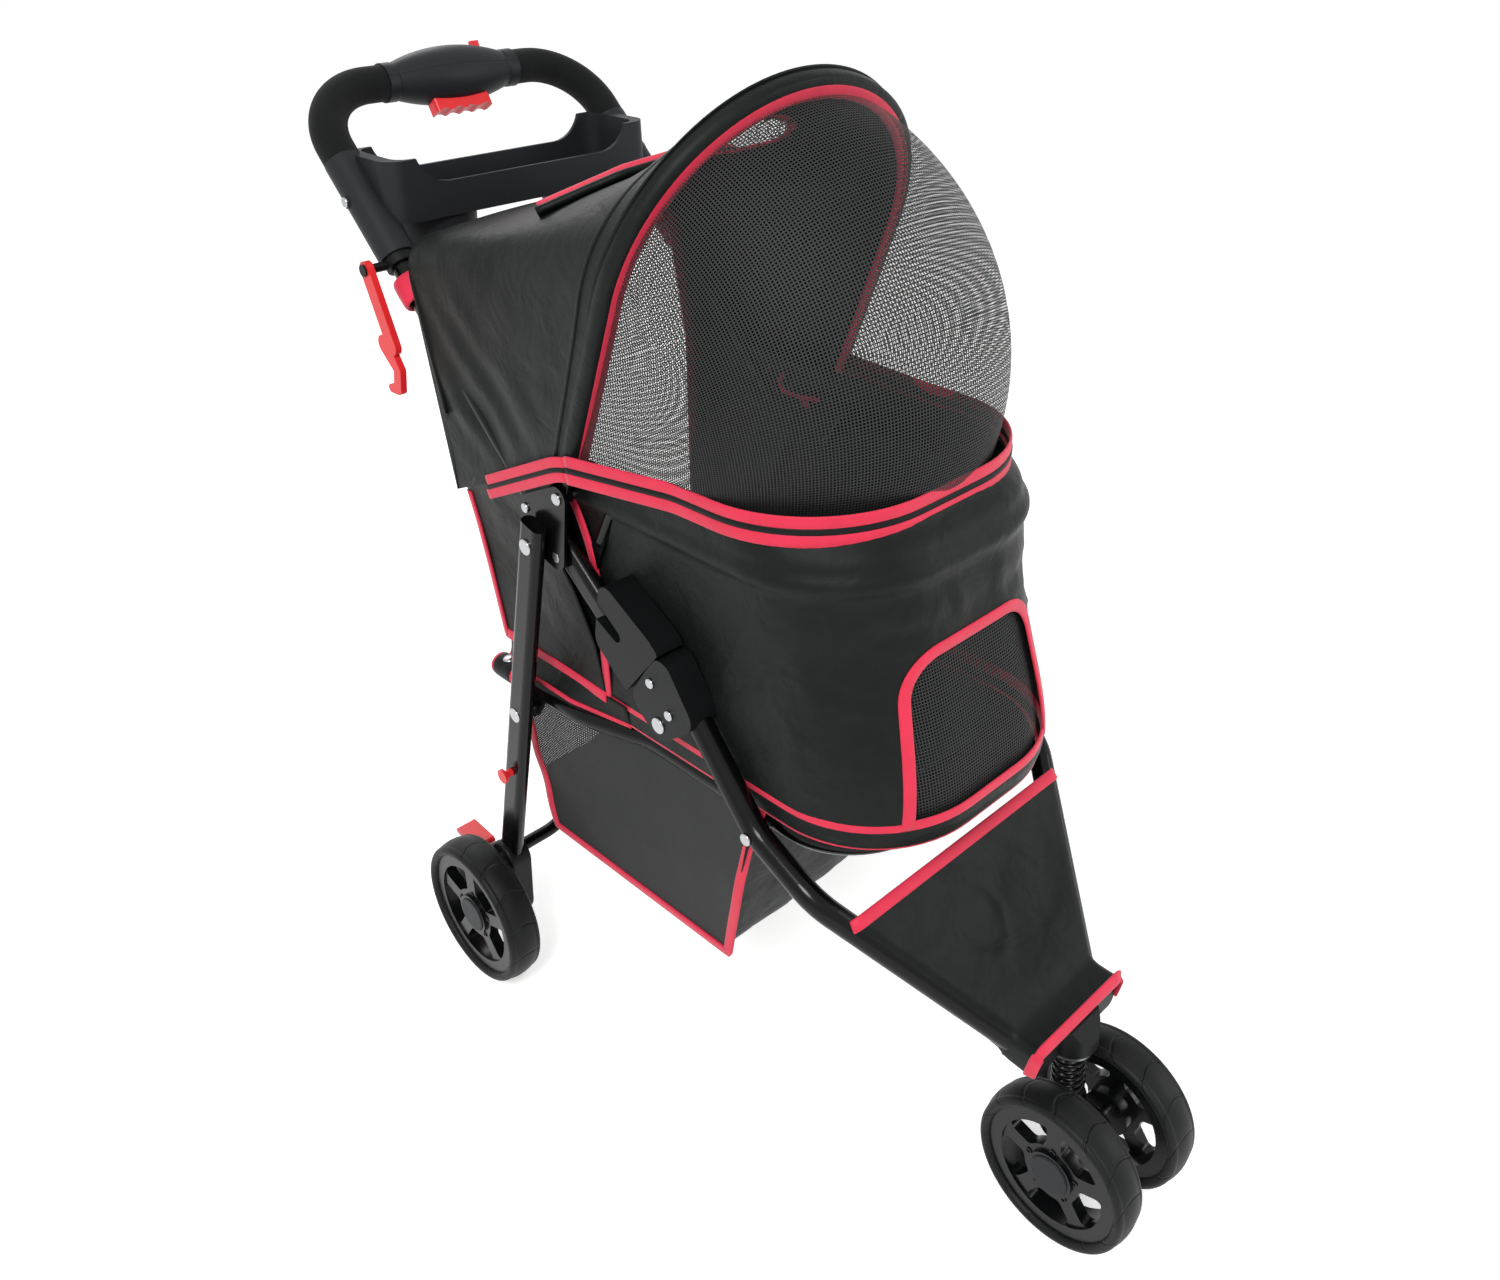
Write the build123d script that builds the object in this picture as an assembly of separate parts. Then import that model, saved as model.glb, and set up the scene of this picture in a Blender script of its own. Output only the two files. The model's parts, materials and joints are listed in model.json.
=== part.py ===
"""Three-wheel folding pet stroller, in millimetres.

X is across the stroller (the pusher's left is +X), forward is -Y and Z is up.
The origin is on the floor, midway between the front tyres and the handle.
"""
from build123d import *
import math
import os

# Side members, as distances from the middle plane
side_x = 150.0
tube_d = 22.0
tube_in = side_x - tube_d / 2
tube_out = side_x + tube_d / 2
tube_wall = 1.5
plate_gap = 0.4
bracket_t = 3.0
leg_t = 14.0
leg_w = 28.0
leg_wall = 1.6
bar_t = 16.0
bar_w = 26.0
bracket_in = tube_out + plate_gap
bracket_out = bracket_in + bracket_t
run_fit = 0.05
seat_fit = 0.15
pivot_d = 8.0
rivet_spread = 1.9
flush_head = 0.2
low_head = 0.9

# Side view points as (y, z)
knee_top = (107.0, 553.0)
knee_pivot = (-38.0, 428.0)
leg_pivot = (114.0, 548.0)
leg_foot = (239.0, 101.0)
seat_pivot_z = 345.0
front_tube_top = (-49.0, 470.0)
front_tube_knee = (-137.0, 360.0)
front_tube_turn = (-205.0, 327.0)
front_tube_end = (-350.0, 182.0)
front_tube_end_x = 42.0
handle_rear = (443.0, 889.0)
hoop_pivot = (80.0, 600.0)
fold_angle = 103.0
knee_angle = 146.6

# Wheels and caster
rear_axle = (240.0, 80.0)
rear_wheel_r = 80.0
rear_wheel_x = side_x + 56.0
front_axle_yz = (-387.0, 76.0)
front_wheel_r = 76.0
front_wheel_x = 42.0
tyre_w = 36.0
tyre_t = 12.0
rim_w = 27.0
rim_t = 12.0
hub_r = 22.0
hub_cap_r = 19.0
hub_flare = 6.0
axle_d = 10.0
spoke_count = 5
spoke_w = 15.0
spoke_t = 11.0
spoke_set = 2.0
window_round = 6.0
stud_r = 2.9
stud_hole = 1.8
stud_high = 1.0
swivel_y = -363.0
stem_d = 12.0
spring_wire = 3.6
spring_coil_r = 13.5
spring_turns = 7
spring_low_z = 108.0
spring_high_z = 168.0

# Handle, tray and console
handle_bend_r = 62.0
grip_d = 34.0
socket_len = 106.0
socket_high = math.dist(knee_top, handle_rear) - handle_bend_r - 15.2
socket_low = socket_high - socket_len
socket_d = 35.0
tray_front = handle_rear[0] - 125.0
tray_rear = handle_rear[0] - 43.0
tray_low_z = handle_rear[1] - 103.0
tray_high_z = handle_rear[1] - 47.0
tray_wall = 3.5
tray_half = side_x - 4.0
well_r = 35.0
well_x = 82.0
well_bottom_z = tray_low_z - 42.0
console_half = 72.0
console_r = 28.0
console_end_r = 18.5
console_barrel = 60.0
trigger_half = 31.0
trigger_travel = 5.0
tab_travel = 6.0

# Sleeve lock on the knee
plastic_in_x = tube_in - 0.7
plastic_out_x = tube_out + 5.0
seam = 150.0
sleeve_len = 82.0

# Hook that keeps the stroller folded
hook_at = socket_low + 2.0
hook_t = 6.0
post_down = 292.0
post_r = 4.0

# Seat, cabin, basket and hood
loop_d = 19.0
loop_rear_half = side_x - 3.0
loop_front_half = side_x - 24.0
loop_rear_y = 250.0
loop_front_y = -228.0
jog_rear_y = 105.0
jog_front_y = 30.0
cloth = 3.0
tub_half = plastic_in_x - 2.3
tub_rim_half = tub_half - 5.0
tub_rear_y = 236.0
tub_rear_r = 34.0
tub_front_low = -268.0
tub_front_high = -214.0
tub_high_z = 628.0
tub_front_r = 103.0
board_t = 5.0
pad_t = 22.0
basket_half = loop_front_half + 10.0
basket_rear_y = 195.0
basket_front_low = -72.0
basket_front_high = -114.0
basket_low_z = 172.0
basket_lip_z = 246.0
hood_low_z = 632.0
hood_rear_y = 268.0
hood_rear_top = 800.0
hood_rear_r = 34.0
hood_crown = 14.0
hood_slack = 16.0
hoop_d = 8.0
hoop_half = bracket_in - 4.9
hoop_leg = 208.0
mesh_half = hoop_half + 7.5
hood_half = mesh_half + 4.0
bow_d = 12.0
bow_z = 600.0

os.makedirs("parts", exist_ok=True)
made = {}
upward = (Align.CENTER, Align.CENTER, Align.MIN)


def keep(name, shape):
    """Write one node as a STEP file."""
    made[name] = shape
    export_step(shape, f"parts/{name}.step")


def at(x, point):
    """Place a side view point at a distance from the middle plane."""
    return Vector(x, point[0], point[1])


def flat(point):
    """Side view part of a point in space."""
    return (point.Y, point.Z)


def toward(start, end):
    """Unit direction from one side view point to another."""
    step = Vector(*end) - Vector(*start)
    return step.normalized()


def along(start, end, distance):
    """Side view point that lies a distance from start on the way to end."""
    found = Vector(*start) + toward(start, end) * distance
    return (found.X, found.Y)


def gap(start, end):
    """Distance between two side view points."""
    return (Vector(*end) - Vector(*start)).length


def rod(start, end, diameter):
    """Round bar from one point in space to another."""
    step = Vector(*end) - Vector(*start)
    return extrude(Plane(start, z_dir=step) * Circle(diameter / 2), step.length)


def cross_rod(point, x_from, x_to, diameter):
    """Round bar across the stroller at a side view point."""
    return rod(at(x_from, point), at(x_to, point), diameter)


def side_slab(sketch, x_from, x_to):
    """Extrude a side view sketch, drawn in y and z, between two distances."""
    return extrude(Plane((x_from, 0, 0), x_dir=(0, 1, 0), z_dir=(1, 0, 0)) * sketch, x_to - x_from)


def hull(*discs):
    """Side view outline stretched round discs given as (point, radius)."""
    edges = ShapeList()
    for point, radius in discs:
        edges += (Pos(*point) * Circle(radius)).edges()
    return make_hull(edges)


def bent_tube(points, radii, diameter, wall=0.0):
    """Tube along straight runs joined by tangent arcs."""
    path = FilletPolyline(*points, radius=radii)
    section = Circle(diameter / 2)
    if wall:
        section -= Circle(diameter / 2 - wall)
    return sweep(Plane(path @ 0, z_dir=path % 0) * section, path=path)


def both(name, shape, left="left", right="right"):
    """Keep a left piece and its mirror image on the right."""
    keep(f"{name}_{left}", shape)
    keep(f"{name}_{right}", mirror(shape, about=Plane.YZ))


def rivet(point, x_from, x_to, diameter, head=1.9):
    """Pin across the stroller with a domed head on its outer end."""
    pin = cross_rod(point, x_from, x_to, diameter)
    cap = cross_rod(point, x_to, x_to + head, diameter * rivet_spread)
    return pin + fillet(cap.edges().filter_by(GeomType.CIRCLE).sort_by(Axis.X)[-1:], head * 0.6)


def pair(shapes):
    """Group of solids with their mirror images."""
    return Compound(children=[*shapes, *[mirror(shape, about=Plane.YZ) for shape in shapes]])


# Positions worked out from the values above
leg_in = bracket_out + plate_gap
leg_x = leg_in + leg_t / 2
leg_out = leg_in + leg_t
leg_length = gap(leg_pivot, leg_foot)
leg_dir = toward(leg_pivot, leg_foot)
bar_dir = toward(knee_top, knee_pivot)
bar_length = gap(knee_top, knee_pivot)
seat_pivot = along(leg_pivot, leg_foot, (leg_pivot[1] - seat_pivot_z) / -leg_dir.Y)
seat_z = front_tube_knee[1]
post_at = along(leg_pivot, leg_foot, post_down)


def turned(point, centre, degrees):
    """Side view point turned about a centre, from +y towards +z."""
    moved = (Vector(*point) - Vector(*centre)).rotate(Axis.Z, degrees) + Vector(*centre)
    return (moved.X, moved.Y)


def on_bar(down, back):
    """Side view point down the link bar from the knee, and back from its axis."""
    place = Vector(*knee_top) + bar_dir * down + Vector(-bar_dir.Y, bar_dir.X) * back
    return (place.X, place.Y)


# Rear legs with their wheel housings, axles and cross bar
foot = along(leg_pivot, leg_foot, leg_length)
leg_head = along(leg_pivot, leg_foot, -22.0)
leg_plane = Plane(at(leg_x, foot), x_dir=(1, 0, 0), z_dir=at(0, leg_head) - at(0, foot))
leg_section = SlotOverall(leg_w, leg_t, rotation=90)
leg_bore = SlotOverall(leg_w - 2 * leg_wall, leg_t - 2 * leg_wall, rotation=90)
leg_span = gap(foot, leg_head)
leg_cap = 3.0
leg = extrude(leg_plane * (leg_section - leg_bore), leg_span)
leg += extrude(leg_plane.offset(leg_span) * leg_section, -leg_cap)
for pin_at in (leg_pivot, seat_pivot, post_at):
    leg += cross_rod(pin_at, leg_in + leg_wall / 2, leg_out - leg_wall / 2, pivot_d + 6)
for pin_at in (leg_pivot, seat_pivot):
    leg -= cross_rod(pin_at, leg_in - 1, leg_out + 1, pivot_d + 2 * run_fit)
post_sleeve = cross_rod(post_at, leg_in - 1, leg_out + 1, 2 * post_r + 2 * seat_fit)
both("rear_leg", leg - post_sleeve)

housing_in = leg_in - 4.0
housing_out = leg_out + 6.0
housing_up = 38.0
housing_low_r = 24.0
housing_high_r = 19.0
housing_round = 4.0
housing_top = along(leg_pivot, leg_foot, leg_length - housing_up)
pedal_pin = (268.0, 118.0)
pedal_pin_d = 6.0
pedal_ear_r = 8.0
pedal_root_r = 12.0
pedal_in = leg_x
housing = side_slab(hull((rear_axle, housing_low_r), (housing_top, housing_high_r)), housing_in, housing_out)
housing = fillet(housing.edges().group_by(Axis.X)[-1], housing_round)
pedal_ear = hull((pedal_pin, pedal_ear_r), (rear_axle, pedal_root_r))
housing += side_slab(pedal_ear, housing_in, pedal_in - plate_gap)
housing -= extrude(leg_plane * offset(leg_section, seat_fit), leg_span)
housing -= cross_rod(rear_axle, housing_in - 1, housing_out + 1, axle_d + 2 * seat_fit)
housing += cross_rod(pedal_pin, pedal_in - 2, housing_out, pedal_pin_d)
both("wheel_housing", housing)

wheel_out = rear_wheel_x + rim_w / 2
axle_low = housing_in - 3.0
rear_axle_rod = cross_rod(rear_axle, axle_low, wheel_out - 4, axle_d)
rear_axle_rod += cross_rod(rear_axle, axle_low - 3, axle_low, axle_d + 6)
keep("rear_axles", pair([rear_axle_rod]))

bar_low = (238.0, 132.0)
cross_half = housing_in - 0.3
cross_rise = 24.0
cross_flat = 70.0
cross_end = 50.0
cross_bend_r = 50.0
cross_d = 14.0
cross_high = (bar_low[0], bar_low[1] + cross_rise)
keep("rear_crossbar", bent_tube(
    [at(-cross_half, bar_low), at(-cross_half + cross_end, bar_low), at(-cross_flat, cross_high),
     at(cross_flat, cross_high), at(cross_half - cross_end, bar_low), at(cross_half, bar_low)],
    cross_bend_r, cross_d, tube_wall))

pedal_tip = (318.0, 124.0)
pedal_out = housing_out - 2.0
pedal_neck = along(pedal_pin, pedal_tip, 18.0)
tread_start = along(pedal_pin, pedal_tip, 16.0)
pedal_boss_r = 7.0
pedal_neck_r = 5.0
tread_root_r = 4.0
tread_tip_r = 3.0
pedal = side_slab(hull((pedal_pin, pedal_boss_r), (pedal_neck, pedal_neck_r)), pedal_in, pedal_out)
tread_in = leg_x - 11.0
pedal += side_slab(hull((tread_start, tread_root_r), (pedal_tip, tread_tip_r)), tread_in, pedal_out)
pedal -= cross_rod(pedal_pin, 0, housing_out, pedal_pin_d + 2 * run_fit)
both("brake_pedal", pedal)

post_head = 7.5
hook_in = leg_out + 1.2
hook_out = hook_in + hook_t
post = cross_rod(post_at, leg_in + 1, hook_out + 0.8, 2 * post_r)
post += cross_rod(post_at, hook_out + 0.8, hook_out + 3.8, 2 * post_head)
keep("storage_post", mirror(post, about=Plane.YZ))

leg_pins = [rivet(seat_pivot, bracket_in - 4, leg_out + 0.1, pivot_d, low_head)]
for down in (leg_length - 22.0, leg_length - 44.0):
    leg_pins.append(rivet(along(leg_pivot, leg_foot, down), housing_out, housing_out + 0.3, 5))
keep("leg_rivets", pair(leg_pins))

# Upper frame: handle tube, link bars, brackets and rim bow
tube_start = along(knee_top, handle_rear, 16.0)
handle_points = [at(-side_x, tube_start), at(-side_x, handle_rear),
                 at(side_x, handle_rear), at(side_x, tube_start)]
keep("handle_tube", bent_tube(handle_points, handle_bend_r, tube_d, tube_wall))

bar_start = 4.0
bar_plane = Plane(at(side_x, on_bar(bar_start, 0)), x_dir=(1, 0, 0), z_dir=at(0, (bar_dir.X, bar_dir.Y)))
bar_section = SlotOverall(bar_w, bar_t, rotation=90)
bar_hole = SlotOverall(bar_w - 2 * leg_wall, bar_t - 2 * leg_wall, rotation=90)
bar = extrude(bar_plane * (bar_section - bar_hole), bar_length - bar_start - 16)
bar_in = side_x - bar_t / 2
bar_out = side_x + bar_t / 2
knuckle = side_slab(hull((knee_pivot, bar_w / 2), (on_bar(bar_length - 18, 0), bar_w / 2)), bar_in, bar_out)
bar += knuckle - cross_rod(knee_pivot, 0, leg_out, pivot_d + 2 * run_fit)
both("link_bar", bar)

bar_rivet = on_bar(20, 0)
tube_rivet = along(knee_top, handle_rear, 32.0)
plate = side_slab(
    hull((tube_rivet, 12), (bar_rivet, 12), (hoop_pivot, 11), (leg_pivot, 14)), bracket_in, bracket_out)
for pin_at in (leg_pivot, hoop_pivot):
    plate -= cross_rod(pin_at, bracket_in - 1, bracket_out + 1, pivot_d + 2 * run_fit)
keep("upper_brackets", pair([plate]))

rim_rivet = on_bar(42, 0)
upper_pins = [
    rivet(leg_pivot, bracket_in + 0.2, leg_out + 0.2, pivot_d),
    rivet(tube_rivet, bracket_out, bracket_out + 0.2, 5),
    cross_rod(bar_rivet, bar_out, bracket_in, 12),
    rivet(bar_rivet, bracket_out, bracket_out + 0.05, 5, flush_head),
    rivet(hoop_pivot, hoop_half - 9, bracket_out + 0.2, pivot_d - 2),
]
keep("upper_rivets", pair(upper_pins))

tub_low_z = seat_z + loop_d / 2 + 0.4
bow_rear = (58.0, bow_z - 40)
bow_bend = (34.0, bow_z)
tub_rise = tub_high_z - tub_low_z
front_share = (bow_z - bow_d / 2 - tub_low_z) / tub_rise
rear_share = (bow_rear[1] - bow_d / 2 - tub_low_z) / tub_rise
bow_off = bow_d / 2 + plate_gap
bow_half = tub_half + (tub_rim_half - tub_half) * rear_share + bow_off
bow_front = tub_front_low + (tub_front_high - tub_front_low) * front_share - bow_off
bow_r = tub_front_r + bow_off
rim_bow = bent_tube(
    [at(-bow_half, bow_rear), at(-bow_half, bow_bend), at(-bow_half, (bow_front, bow_z)),
     at(bow_half, (bow_front, bow_z)), at(bow_half, bow_bend), at(bow_half, bow_rear)],
    [20, bow_r, bow_r, 20], bow_d)
tab_in = bar_in - 3.2
bow_tab = side_slab(hull((rim_rivet, 8), (along(bow_rear, bow_bend, 6), 6)), tab_in, bar_in - 0.2)
bow_tab += cross_rod(rim_rivet, tab_in - 1.5, tab_in, 8)
bow_tab += side_slab(hull((bow_rear, bow_d / 2 + 1), (along(bow_rear, bow_bend, 6), bow_d / 2 + 1)),
                    tab_in, bow_half - bow_d / 4)
rim_bow += bow_tab
rim_bow += mirror(bow_tab, about=Plane.YZ)
keep("rim_bow", rim_bow)

# Console, trigger and grips round the handle
handle_axis = Axis(at(0, handle_rear), (1, 0, 0))
handle_plane = Plane(at(0, handle_rear), x_dir=(1, 0, 0), z_dir=(0, 1, 0))
console_neck_r = console_end_r - 1.0
with BuildLine(handle_plane) as console_line:
    ThreePointArc((-console_barrel, console_neck_r), (0, console_r), (console_barrel, console_neck_r))
    Polyline((console_barrel, console_neck_r), (console_barrel + 2, console_end_r),
             (console_half, console_end_r), (console_half, 0), (-console_half, 0),
             (-console_half, console_end_r), (-console_barrel - 2, console_end_r),
             (-console_barrel, console_neck_r))
console = revolve(make_face(console_line.line), handle_axis)
console -= cross_rod(handle_rear, -console_half - 1, console_half + 1, tube_d + 2 * seat_fit)
pull_dir = Vector(0, -0.5, -0.866)
trigger_plane = Plane(at(0, handle_rear), x_dir=(1, 0, 0), z_dir=pull_dir)
pocket_deep = tube_d / 2 + 2.0
trigger_top = pocket_deep + trigger_travel + 0.6
trigger_low = console_r + 9.0
trigger_w = 17.0
trigger_fit = 0.5
pocket = RectangleRounded(2 * (trigger_half + trigger_fit), trigger_w + 2 * trigger_fit, 4)
console -= extrude(trigger_plane.offset(pocket_deep) * pocket, console_r)
tab_x = 38.0
tab_w = 9.0
tab_slot_low = 15.0
tab_plane = Plane(at(tab_x, handle_rear), x_dir=(1, 0, 0), z_dir=(0, 0.34, 0.94))
tab_slot = Rectangle(tab_w + tab_travel + 1.0, 5.0)
console -= extrude(tab_plane.offset(tab_slot_low) * Pos(tab_travel / 2, 0) * tab_slot, console_r)
split_gap = 0.2
half_space = Plane(at(0, handle_rear), z_dir=(0, 0.5, 0.866))
keep("console_upper", split(console, bisect_by=half_space.offset(split_gap / 2), keep=Keep.TOP))
keep("console_lower", split(console, bisect_by=half_space.offset(-split_gap / 2), keep=Keep.BOTTOM))

trigger_face = RectangleRounded(2 * trigger_half, trigger_w, 3.6)
trigger = extrude(trigger_plane.offset(trigger_top) * trigger_face, trigger_low - trigger_top)
finger_r = 9.0
finger_pitch = 15.0
for finger in (-1.5, -0.5, 0.5, 1.5):
    centre = at(finger * finger_pitch, handle_rear) + pull_dir * (trigger_low + finger_r - 2.2)
    finger_plane = Plane(centre, x_dir=(1, 0, 0), z_dir=(0, 0.866, -0.5))
    trigger -= extrude(finger_plane * Circle(finger_r), trigger_w, both=True)
keep("release_trigger", trigger)

tab_high = console_r + 1.0
tab = extrude(tab_plane.offset(tab_slot_low + 0.5) * Rectangle(tab_w, 4.4), tab_high - tab_slot_low)
keep("safety_tab", tab)

grip_low = along(knee_top, handle_rear, socket_high + 0.5)
grip = bent_tube([at(side_x, grip_low), at(side_x, handle_rear), at(console_half + 0.4, handle_rear)],
                 handle_bend_r, grip_d)
grip_bore = bent_tube([at(side_x, along(knee_top, handle_rear, socket_high - 10)), at(side_x, handle_rear),
                       at(console_half - 9, handle_rear)], handle_bend_r, tube_d + 2 * seat_fit)
both("grip", grip - grip_bore)

# Tray with two cup wells, clamped on the handle tubes
tray_mid = (tray_front + tray_rear) / 2
tray_deep = tray_rear - tray_front
tray_block = RectangleRounded(2 * tray_half, tray_deep, 18)
tray = extrude(Pos(0, tray_mid, tray_low_z) * tray_block, tray_high_z - tray_low_z)
socket_a = at(side_x, along(knee_top, handle_rear, socket_low))
socket_b = at(side_x, along(knee_top, handle_rear, socket_high))
socket = rod(socket_a, socket_b, socket_d)
tray += socket
tray += mirror(socket, about=Plane.YZ)
scoop_half = 118.0
scoop_z = tray_low_z + 32.0
scoop = Pos(0, tray_mid, scoop_z + 60) * Box(2 * scoop_half, tray_deep + 40, 120)
scoop = fillet(scoop.edges().filter_by(Axis.Y).group_by(Axis.Z)[0], 34)
basin_half = tube_in - tray_wall - 2.0
basin = RectangleRounded(2 * basin_half, tray_deep - 2 * tray_wall, 15)
well_floor = tray_low_z + tray_wall
for way in (-1, 1):
    well_out = Pos(way * well_x, tray_mid, well_bottom_z) * Cone(
        well_r + tray_wall - 3, well_r + tray_wall, tray_low_z - well_bottom_z + 1,
        align=upward)
    tray += well_out
tray -= scoop
tray -= extrude(Pos(0, tray_mid, well_floor) * basin, 100)
for way in (-1, 1):
    tray -= Pos(way * well_x, tray_mid, well_bottom_z + tray_wall) * Cylinder(
        well_r - 3, tray_low_z, align=upward)
tube_clear = rod(at(side_x, tube_start), at(side_x, along(knee_top, handle_rear, socket_high + 30)),
                 tube_d + 2 * seat_fit)
screw_at = along(knee_top, handle_rear, (socket_low + socket_high) / 2 + 12)
screw_face = side_x + socket_d / 2 + 0.8
boss = cross_rod(screw_at, side_x, screw_face, 12)
grip_clear = rod(socket_b, at(side_x, along(knee_top, handle_rear, socket_high + 60)), grip_d + 1.0)
for cut_round in (tube_clear, grip_clear):
    tray -= cut_round
    tray -= mirror(cut_round, about=Plane.YZ)
boss -= tube_clear
tray += boss
tray += mirror(boss, about=Plane.YZ)
keep("handle_tray", tray)
keep("tray_screws", pair([rivet(screw_at, screw_face, screw_face + 0.4, 5)]))

# Hook that catches the post when the legs are folded up
clip_a = at(side_x, along(knee_top, handle_rear, hook_at - 11))
clip_b = at(side_x, along(knee_top, handle_rear, hook_at - 2.5))
clip = rod(clip_a, clip_b, tube_d + 8)
clip_mid = along(knee_top, handle_rear, hook_at - 6.75)
hook_pin_d = 6.0
clip += cross_rod(clip_mid, side_x + 2, hook_in - 0.4, 8.4)
clip -= tube_clear
clip += cross_rod(clip_mid, hook_in - 1, hook_out + 0.4, hook_pin_d)
clip += cross_rod(clip_mid, hook_out + 0.4, hook_out + 2, 11)
keep("hook_clip", mirror(clip, about=Plane.YZ))

folded_post = turned(post_at, leg_pivot, fold_angle)
hook_reach = gap(clip_mid, folded_post)
hook_hang = -101.0
notch = along(clip_mid, turned((clip_mid[0] + 1, clip_mid[1]), clip_mid, hook_hang), hook_reach)
hook_line = toward(clip_mid, notch)
hook_side = Vector(-hook_line.Y, hook_line.X)


def on_hook(down, back):
    """Side view point on the hook, from its pivot down and back of its line."""
    place = Vector(*clip_mid) + hook_line * down + hook_side * back
    return (place.X, place.Y)


arm_r = 8.0
shoulder_r = 9.0
neck_r = 5.5
tip_r = 6.0
barb_r = 4.0
neck_in = -13.0
tip_in = -5.0
barb_out = 7.0
tip_past = 17.0
arm_short = 22.0
neck_short = 24.0
mouth_long = 40.0
neck = on_hook(hook_reach, neck_in)
tip = on_hook(hook_reach + tip_past, tip_in)
arm = hull((clip_mid, arm_r), (on_hook(hook_reach - arm_short, neck_in), arm_r))
arm += hull((on_hook(hook_reach - neck_short, 0), shoulder_r), (neck, neck_r))
arm += hull((neck, neck_r), (tip, tip_r))
arm += hull((tip, tip_r), (on_hook(hook_reach + tip_past, barb_out), barb_r))
mouth_r = post_r + 1.4
mouth = hull((notch, mouth_r), (on_hook(hook_reach, mouth_long), mouth_r))
hook = side_slab(arm - mouth, hook_in, hook_out)
hook -= cross_rod(clip_mid, hook_in - 1, hook_out + 1, hook_pin_d + 2 * run_fit)
keep("storage_hook", mirror(hook, about=Plane.YZ))

# Front frame: bent tubes, knee covers and caster head
tube_points = [at(side_x, front_tube_top), at(side_x, front_tube_knee), at(side_x, front_tube_turn),
               at(front_tube_end_x, front_tube_end)]
front_knee_r = 55.0
front_turn_r = 60.0
front_tube = bent_tube(tube_points, [front_knee_r, front_turn_r], tube_d, tube_wall)
front_solid = bent_tube(tube_points, [front_knee_r, front_turn_r], tube_d + 2 * seat_fit)
both("front_tube", front_tube)

cover_len = 27.0
cover_r = 15.0
cover_mouth_r = 14.0
cover_rise = 14.0
cover_deep = 17.0
hood_set = -44.0
seam_half = 60.0
seam_tall = 200.0
cover_low = along(front_tube_top, front_tube_knee, cover_len)
cover_top = on_bar(seam + cover_rise, hood_set)
cover_mouth = on_bar(seam + cover_deep, 0)
cover_face = hull((knee_pivot, cover_r), (cover_low, cover_r), (cover_top, cover_r),
                  (cover_mouth, cover_mouth_r))
bar_slope = math.degrees(math.atan2(bar_dir.Y, bar_dir.X))
seam_block = Rectangle(2 * seam_half, seam_tall, rotation=bar_slope)
cover_face -= Pos(*on_bar(seam - seam_half, hood_set / 2)) * seam_block
cover = side_slab(cover_face, plastic_in_x, plastic_out_x)
swing_r = bar_w / 2 + 1.0
swing_reach = 60.0
swing_gap = 0.5
bar_room = Pos(*knee_pivot) * Circle(bar_w / 2 + 3.0)
bar_room += hull((knee_pivot, swing_r), (on_bar(0, 0), swing_r))
cover -= side_slab(bar_room, bar_in - swing_gap, bar_out + swing_gap)
for share in (0.0, 0.25, 0.5, 0.75, 1.0):
    swung = turned(on_bar(bar_length - swing_reach, 0), knee_pivot, -share * knee_angle)
    swing_slot = hull((knee_pivot, swing_r), (swung, swing_r))
    cover -= side_slab(swing_slot, bar_in - swing_gap, bar_out + swing_gap)
cover -= front_solid
cover -= cross_rod(knee_pivot, 0, leg_out, pivot_d + 2 * seat_fit)
both("hinge_cover", cover)

cover_rivets = ((-31.0, 467.0), (-53.0, 445.0))
front_pins = [
    rivet(knee_pivot, plastic_in_x - 0.2, plastic_out_x + 0.2, pivot_d),
    rivet(front_tube_knee, tube_out - 0.3, tube_out + 0.3, 6),
    cross_rod(front_tube_knee, loop_front_half + loop_d / 2 + 0.4, tube_in, 6),
]
for spot in cover_rivets:
    front_pins.append(rivet(spot, plastic_out_x, plastic_out_x + 0.2, 5))
keep("front_rivets", pair(front_pins))

head_low = 174.0
head_high = 203.0
head_r = 23.0
head_wide = 2 * front_tube_end_x + 34.0
head_long = 34.0
head_round = 9.0
head_roof = 5.0
head_tall = head_high - head_low
head = extrude(Pos(0, swivel_y, head_low) * Circle(head_r), head_tall)
head_at = (0, front_tube_end[0] + 1.0, (head_low + head_high) / 2)
head_block = Pos(*head_at) * Box(head_wide, head_long, head_tall)
head += fillet(head_block.edges().filter_by(Axis.Y), head_round)
bush_d = stem_d + 5.0
head -= Pos(0, swivel_y, head_low) * Cylinder(bush_d / 2 + seat_fit, head_tall - head_roof, align=upward)
head -= front_solid
head -= mirror(front_solid, about=Plane.YZ)
bush_high = head_high - head_roof - seat_fit
bush = Pos(0, swivel_y, head_low) * Cylinder(
    bush_d / 2, bush_high - head_low, align=upward)
bush -= Pos(0, swivel_y, head_low - 1) * Cylinder(
    stem_d / 2 + run_fit, 200, align=upward)
keep("swivel_bush", bush)

# Cloth apron over both tubes and the caster head
apron_gap = 0.3
apron_bend_r = 10.0
apron_edge = 4.0
apron_from = 0.16
apron_turn = 0.89
apron_reach = 13.0
apron_drop = 17.0
tube_turn = at(side_x, front_tube_turn)
tube_run = at(front_tube_end_x, front_tube_end) - tube_turn
tube_slope = Vector(0, tube_run.Y, tube_run.Z).normalized()
apron_lift = Vector(0, tube_slope.Z, -tube_slope.Y) * (tube_d / 2 + apron_gap + cloth / 2)
apron_top = tube_turn + tube_run * apron_from + apron_lift
apron_knee = tube_turn + tube_run * apron_turn + apron_lift
apron_front = (swivel_y - apron_reach, head_high + cloth)
apron_low = (apron_front[0] - apron_drop, head_low + apron_edge)
apron_line = [(apron_top.Y, apron_top.Z), (apron_knee.Y, apron_knee.Z), apron_front, apron_low]
apron_band = trace(FilletPolyline(*apron_line, radius=apron_bend_r), line_width=cloth)
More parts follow.
